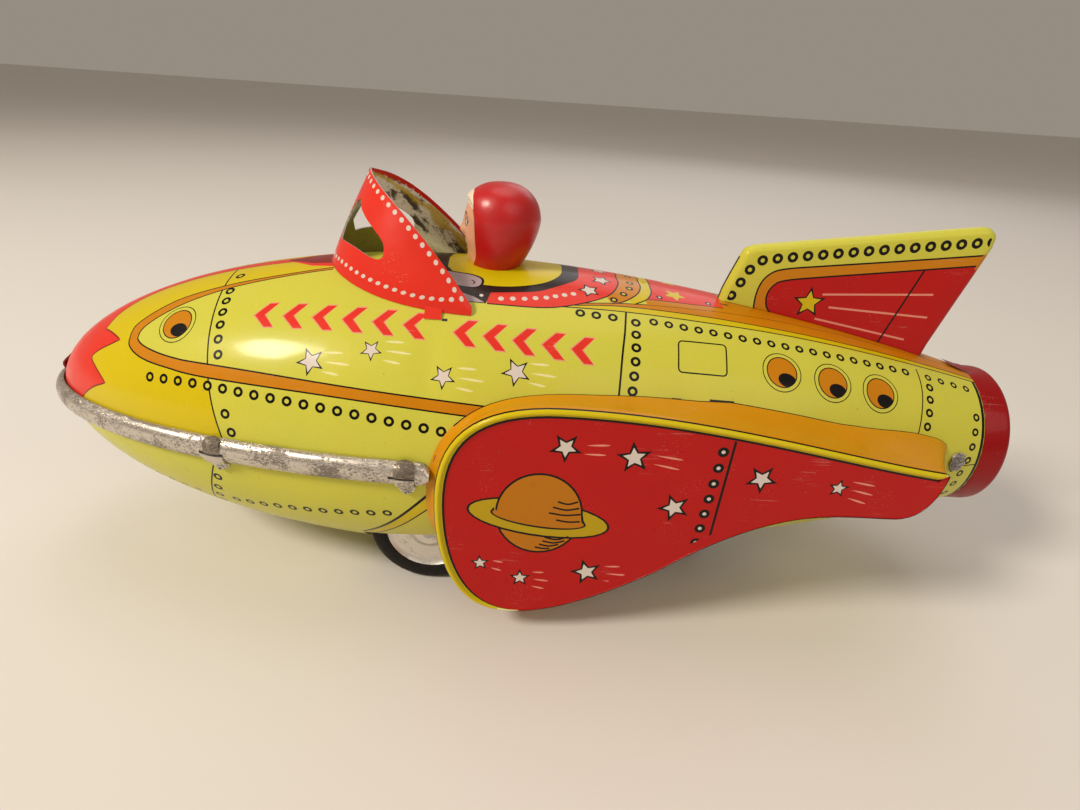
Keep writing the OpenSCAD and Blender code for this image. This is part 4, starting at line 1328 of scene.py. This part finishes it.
def make_head():
    top = float(HEAD_RUN[-1])

    def up(z):
        return float(np.interp(z, HEAD_PROFILE[:, 0], HEAD_RUN))

    def risen(points):
        return [(up(z), a) for z, a in points]

    surface = Surface(head_place, lambda u: 6.5 * math.pi / 180, outward=-1.0)
    art = Artwork(surface, "paint_helmet")
    edge = risen([(z, float(face_edge(z))) for z in np.linspace(FACE_LOW, FACE_HIGH, 30)])
    art.fill("paint_flesh", edge + [(u, -a) for u, a in edge[::-1][1:-1]])
    brow = curve(risen([(38.0, 46), (39.3, 40), (40.4, 24), (40.7, 0)]), 5)
    low = curve(risen([(37.6, 43), (38.3, 24), (38.5, 0)]), 5)
    art.fill("paint_cream", brow + [(u, -a) for u, a in brow[::-1][1:] + low[:-1]] + low[::-1])
    level = up(EYE_Z)
    for side in (1, -1):
        # around the eye's middle: up in millimetres, round in degrees
        eye = [(0.55 * math.sin(t) * (1 - 0.25 * math.cos(t)), 9.5 * math.cos(t))
               for t in np.linspace(0, 2 * math.pi, 19)[:-1]]
        for ink, tall, wide in (("paint_black", 1.25, 1.12), ("paint_white", 1, 1)):
            art.fill(ink, [(level + u * tall, side * (EYE_A + a * wide)) for u, a in eye])
        art.disc("paint_black", (level, side * (EYE_A - 1)), 0.42)
        art.line("paint_black", risen([(36.6, side * 9), (37.0, side * 18), (36.7, side * 28)]), 0.22)
    lips = risen([(31.1, -13), (31.75, -4), (31.6, 0), (31.75, 4), (31.1, 13), (30.5, 0)])
    art.fill("paint_lips", curve(lips, 4, closed=True))
    outline = dense(surface, [(0.0, -180), (top, -180), (top, 180), (0.0, 180)], 0.55)
    shape = Shape()
    shape.add_print(surface, outline, art, lattice(0, top, -180, 180, 0.42, 4.2))
    return shape.build("pilot_head_painted", "casing", "pilot_paint", ["pilot_head"])


# ---------------------------------------------------------------- the bumper and its clamps


def bumper_rim(a):
    """A point of the belt, at the angle a from the nose: positive on the toy's left."""
    y = WIDEST_Y - NOSE_LEN * np.cos(a)
    x = np.sign(a) * body_radius(y)
    return np.stack([x, y], -1)


BUMPER_D = 1.55  # how far the bumper stands out
BUMPER_H = 2.2  # half of its height


def bumper_point(a, turn, lift=0.0):
    """A point of the bumper's half-round face: a along the belt, turn up from its middle, in radians."""
    h = 0.01
    here = bumper_rim(a)
    tangent = unit(bumper_rim(a + h) - bumper_rim(a - h))
    out = np.stack([tangent[..., 1], -tangent[..., 0]], -1)
    reach = 0.15 + (BUMPER_D + lift) * np.cos(turn)
    flat = here + reach[..., None] * out
    return np.concatenate([flat, ((BUMPER_H + lift) * np.sin(turn))[..., None]], -1)


def bumper_angle(y):
    return math.acos((WIDEST_Y - y) / NOSE_LEN)


def make_bumper():
    end = bumper_angle(-12.5)
    share = np.linspace(-1, 1, 161)
    angles = np.sign(share) * end * (1 - (1 - np.abs(share)) ** 1.15)
    turns = np.radians(np.linspace(-92, 92, 17))
    a, t = np.meshgrid(angles, turns, indexing="ij")
    points = bumper_point(a, t)
    # behind its rear clamp each end is squeezed flatter and rounded off
    y = points[..., 1]
    squeeze = np.clip((y + 15.2) / 2.7, 0, 1)
    points[..., 2] *= np.sqrt(np.clip(1 - 0.8 * squeeze**3, 0, 1))
    shape = Shape()
    shape.add_grid(points, "tin_bumper")
    return shape.build("bumper_channel", "casing", "bare_tin", ["nose_bumper"], TIN)


def make_clamps():
    """Pairs of tongues that come out through a slot in the bumper, one folded up over it and one down."""
    shape = Shape()
    for side in (1, -1):
        # the station of each pair, and half the width of its upper and of its lower tongue
        for y, over, under in ((-48.5, 1.4, 1.9), (-16.4, 1.7, 1.55)):
            centre = bumper_angle(y)
            per = abs(NOSE_LEN * math.sin(centre))
            for way, wide in ((1, over), (-1, under)):
                rows = []
                for k in np.linspace(0, 1, 15):
                    half = wide * math.sqrt(max(0.0, 1 - max(0.0, (k - 0.4) / 0.6) ** 2.6))
                    share = np.linspace(-1, 1, 9)
                    row = side * (centre + share * half / per)
                    puff = 0.38 + 0.26 * math.sin(math.pi * k) + 0.06 * math.sin(9 * k + 2 * y)
                    lift = puff * (1 - 0.45 * share**2)
                    if way > 0:
                        turn = math.radians(-2 + 87 * k)
                    else:
                        turn = math.radians(-11 - 74 * min(1.0, k / 0.6))
                    points = np.array([bumper_point(a, np.array(turn), h) for a, h in zip(row, lift)])
                    points[:, 2] -= 2.3 * max(0.0, k / 0.6 - 1) * (way < 0)
                    rows.append(points)
                shape.add_grid(np.array(rows), "tin_bumper" if way < 0 else "tin_dark", flip=way * side > 0)
    return shape.build("bumper_tongues", "casing", "bare_tin", (), 0.28, rim="tin_plate")


def make_slots():
    """The dark cuts that the tongues come through."""
    shape = Shape()
    for side in (1, -1):
        for y in (-48.7, -16.9):
            centre = bumper_angle(y)
            half = 2.1 / abs(NOSE_LEN * math.sin(centre))
            angles = side * (centre + np.linspace(-1, 1, 9) * half)
            rows = [bumper_point(angles, np.full(9, math.radians(t)), 0.08) for t in (-12, -9, -5, -1)]
            shape.add_grid(np.array(rows), "slot", flip=side > 0)
    return shape.build("bumper_slots", "casing", "bare_tin", (), 0.1, back="slot", rim="slot")


# ---------------------------------------------------------------- the tail


LATHE_STEPS = 96


def lathe(profile, inks, centre=(0.0, 0.0), axis="y", flip=False):
    """Turns (radius, station) points about the y or x axis through centre."""
    a = np.linspace(0, 2 * math.pi, LATHE_STEPS, endpoint=False)
    p = np.array(profile, float)
    r, s = p[None, :, 0], p[None, :, 1]
    c, d = np.cos(a)[:, None], np.sin(a)[:, None]
    flat = np.broadcast_to(s, (LATHE_STEPS, len(p)))
    if axis == "y":
        points = np.stack([r * d, flat, r * c], -1)
    else:
        points = np.stack([flat, centre[0] + r * d, centre[1] + r * c], -1)
    shape = Shape()
    shape.add_grid(points, inks, closed=True, flip=flip)
    return shape


def make_tail_ring():
    r = RING_R
    front = TAIL_Y + 0.15
    profile = [
        (r - 0.5, front), (r - 0.12, front), (r, front + 0.15), (r, front + 1.4), (r - 0.02, RING_Y - 1.0),
        (r - 0.12, RING_Y - 0.45), (r - 0.38, RING_Y - 0.12), (r - 0.8, RING_Y), (r - 1.2, RING_Y - 0.14),
        (r - 1.42, RING_Y - 0.5), (r - 1.35, RING_Y - 1.0), (r - 0.75, RING_Y - 1.4), (r - 0.6, front + 1.2),
        (r - 0.9, TAIL_Y - 4.6), (r - 1.2, TAIL_Y - 4.7), (r - 1.2, front - 0.4), (r - 0.5, front),
    ]
    # the outer band is in the darker ring red, which carries painted shade
    shape = lathe(profile, ["ring_red"] * 11 + ["tin_plate"] * 5)
    # the tongue that laps forward over the body at the top
    rows = []
    for k in np.linspace(0, 1, 6):
        a = np.radians(np.linspace(-9, 9, 9)) * (1 - 0.35 * k**3)
        y = front + 0.3 - 4.2 * k
        radius = float(body_radius(min(y, TAIL_Y))) + 0.32
        rows.append(np.stack([radius * np.sin(a), np.full(9, y), radius * np.cos(a)], -1))
    # the tongue is in the same darker ring red with painted shade
    shape.add_grid(np.array(rows), "ring_red")
    return shape.build("tail_ring_litho", "casing", "litho_red", ["tail_ring"])


def make_nozzle():
    low, high = mm_box("nozzle_disc")
    r, y = high[0] - 0.05, low[1]
    profile = [(0.02, y), (3.9, y), (4.5, y + 0.5), (5.0, y + 1.7), (5.4, y + 1.95), (7.2, y + 1.95),
               (7.7, y + 1.6), (8.3, y + 0.5), (8.8, y + 0.2), (r - 0.5, y + 0.2), (r, y + 0.5), (r, high[1])]
    # the nozzle's outer lip is in the darker ring red, which carries painted shade
    shape = lathe(profile[::-1], ["ring_red"] * 2 + ["tin_hub"] * 9)
    return shape.build("nozzle_litho", "casing", "bare_tin", ["nozzle_disc"], 0.3)


def make_seam_lugs():
    """Crumpled bright lugs that close the belt seam at the tail."""
    shape = Shape()
    for side in (1, -1):
        rows = []
        for i, v in enumerate(np.linspace(-1, 1, 9)):
            row = []
            for j, u in enumerate(np.linspace(-1, 1, 9)):
                crumple = 0.14 * math.sin(3.1 * i + 1.7 * j) + 0.12 * math.sin(2.3 * j - 1.3 * i)
                y = 80.3 + 1.5 * u * math.sqrt(max(0.1, 1 - 0.55 * v * v))
                z = 1.1 + 1.8 * v * math.sqrt(max(0.2, 1 - 0.35 * u * u))
                r = float(body_radius(y)) + 0.45 + crumple
                row.append((side * math.sqrt(r * r - z * z), y, z))
            rows.append(row)
        shape.add_grid(np.array(rows), "tin_bright", flip=side > 0)
    return shape.build("seam_lugs", "casing", "bare_tin", (), 0.35)


# ---------------------------------------------------------------- the wheels


def make_tyre(side, name, node):
    low, high = WHEEL_LOW[0], WHEEL_HIGH[0]
    r = WHEEL_R
    seat, lip = r - RUBBER_DEPTH, r - 3.4
    middle = (low + high) / 2
    points = [
        (seat, low), (seat + 0.5, low - 0.1), (r - 0.9, low), (r - 0.35, low + 0.3), (r - 0.06, low + 0.8),
        (r, middle - 0.1), (r - 0.05, middle), (r, middle + 0.1), (r - 0.06, high - 0.9),
        (r - 0.35, high - 0.35), (r - 0.8, high), (r - 1.4, high + 0.22), (r - 2.2, high + 0.32),
        (lip + 0.5, high + 0.3), (lip + 0.15, high + 0.18), (lip, high + 0.02), (lip + 0.05, high - 0.1),
        (seat, high - 0.1), (seat, low),
    ]
    shape = lathe([(r, side * x) for r, x in points], "rubber", (AXLE_Y, AXLE_Z), "x", flip=side > 0)
    return shape.build(name, "drive_wheels", "black_rubber", [node])


def make_wheel_face(side, name, node):
    rim = WHEEL_R - RUBBER_DEPTH
    # radius, and distance outwards from WHEEL_X
    points = [
        (0.02, 0.35), (0.7, 0.32), (1.0, 0.1), (1.05, -0.1), (2.6, -0.1), (3.1, -0.22), (3.7, -0.7),
        (4.3, -0.86), (7.0, -0.84), (7.5, -0.66), (8.0, -0.16), (8.3, 0.06), (8.5, 0.06), (rim - 0.14, -0.02),
        (rim - 0.06, -0.24), (rim - 0.2, -0.4), (rim - 0.4, -0.6), (rim - 0.4, -4.4),
    ]
    profile = [(r, side * (WHEEL_X + x)) for r, x in points]
    shape = lathe(profile, "tin_hub", (AXLE_Y, AXLE_Z), "x", flip=side < 0)
    return shape.build(name, "drive_wheels", "bare_tin", [node], 0.25)


# ---------------------------------------------------------------- carried-over CAD nodes


def dress_cad():
    """Gives the pieces that keep their CAD shape their real finish."""
    steel = metal("drawn_steel", (0.56, 0.56, 0.57), 0.26)
    brass = metal("stamped_brass", (0.72, 0.50, 0.20), 0.3)
    dark_steel = metal("cast_steel", (0.30, 0.29, 0.29), 0.36)
    finishes = {
        worn_tin("plate"): ["base_plate", "motor_plate_left", "motor_plate_right", "rear_fork"],
        worn_tin("hub"): ["wheel_back_left", "wheel_back_right", "rear_hub"],
        steel: ["motor_pillars", "rear_pin", "drive_axle", "countershaft", "flywheel_shaft",
                "counter_pinion", "flywheel_pinion"],
        brass: ["axle_bush_left", "axle_bush_right", "axle_gear", "counter_gear"],
        dark_steel: ["flywheel"],
        rubber(): ["rear_tyre"],
    }
    for material, nodes in finishes.items():
        for node in nodes:
            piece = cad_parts[node]
            piece.data.materials.clear()
            piece.data.materials.append(material)
            piece.data.polygons.foreach_set("material_index", [0] * len(piece.data.polygons))


# ---------------------------------------------------------------- camera, floor and light


CAMERA_TURN = (0.385, 26.246, 3.94)  # yaw, pitch down and roll, in degrees
CAMERA_AT = (114.75, 3.79, 56.24)
CAMERA_LENS = 21.1


def make_camera():
    yaw, pitch, roll = map(math.radians, CAMERA_TURN)
    ahead = Vector((-math.cos(pitch) * math.cos(yaw), math.cos(pitch) * math.sin(yaw), -math.sin(pitch)))
    level = Vector((math.sin(yaw), math.cos(yaw), 0))
    over = level.cross(ahead)
    right = level * math.cos(roll) + over * math.sin(roll)
    up = over * math.cos(roll) - level * math.sin(roll)
    data = bpy.data.cameras.new("camera")
    data.sensor_width = 36
    data.lens = CAMERA_LENS
    data.clip_start, data.clip_end = 0.005, 20
    camera = bpy.data.objects.new("camera", data)
    bpy.context.scene.collection.objects.link(camera)
    place = Matrix((right, up, -ahead)).transposed().to_4x4()
    x, y, z = CAMERA_AT
    place.translation = Vector((x, y, z + AXIS_Z)) * MM
    camera.matrix_world = place
    bpy.context.scene.camera = camera


def make_floor():
    size = 8.0
    mesh = bpy.data.meshes.new("floor")
    corners = [(-size, -size, 0), (size, -size, 0), (size, size, 0), (-size, size, 0)]
    mesh.from_pydata(corners, [], [(0, 1, 2, 3)])
    n = Nodes("pale_floor")
    n.set(Base_Color=n.mix(n.noise(0.004, 2), (0.70, 0.665, 0.62, 1), (0.745, 0.71, 0.665, 1)), Roughness=0.8)
    mesh.materials.append(n.material)
    floor = bpy.data.objects.new("floor", mesh)
    bpy.context.scene.collection.objects.link(floor)


def area_light(name, place, aim, size, power, colour):
    data = bpy.data.lights.new(name, "AREA")
    data.shape = "ELLIPSE"
    data.size, data.size_y = size
    data.energy = power
    data.color = colour
    light = bpy.data.objects.new(name, data)
    light.location = place
    light.rotation_mode = "QUATERNION"
    light.rotation_quaternion = (Vector(aim) - Vector(place)).to_track_quat("-Z", "Y")
    bpy.context.scene.collection.objects.link(light)


def make_lights():
    target = (0, 0, 0.03)
    area_light("key", (0.40, -0.62, 0.66), (0, -0.02, 0.03), (0.26, 0.20), 7.0, (1.0, 0.92, 0.80))
    area_light("fill", (0.75, 0.55, 0.75), target, (0.9, 0.7), 2.0, (1.0, 0.95, 0.88))
    area_light("top", (-0.25, 0.05, 1.0), target, (0.8, 0.8), 2.2, (1.0, 0.95, 0.89))
    area_light("back", (-0.8, 0.3, 0.55), target, (0.7, 0.5), 1.0, (0.97, 0.96, 1.0))
    world = bpy.data.worlds.new("room")
    world.use_nodes = True
    light = world.node_tree.nodes["Background"].inputs
    light["Color"].default_value = (0.36, 0.315, 0.265, 1)
    light["Strength"].default_value = 0.85
    bpy.context.scene.world = world
    bpy.context.scene.view_settings.view_transform = "Standard"


make_camera()
make_shell("upper_shell_litho", "upper_shell", (-90, 90), upper_art())
make_nose_tab()
make_shell("lower_shell_litho", "lower_shell", (90, 270), lower_art(), [mouth_outline()])
make_wing(1, "wing_left_litho", "wing_left")
make_wing(-1, "wing_right_litho", "wing_right")
make_fin()
make_canopy()
make_head()
make_bumper()
make_clamps()
make_slots()
make_tail_ring()
make_nozzle()
make_seam_lugs()
make_tyre(1, "tyre_left_rubber", "tyre_left")
make_tyre(-1, "tyre_right_rubber", "tyre_right")
make_wheel_face(1, "wheel_left_disc", "wheel_face_left")
make_wheel_face(-1, "wheel_right_disc", "wheel_face_right")
dress_cad()
make_floor()
make_lights()
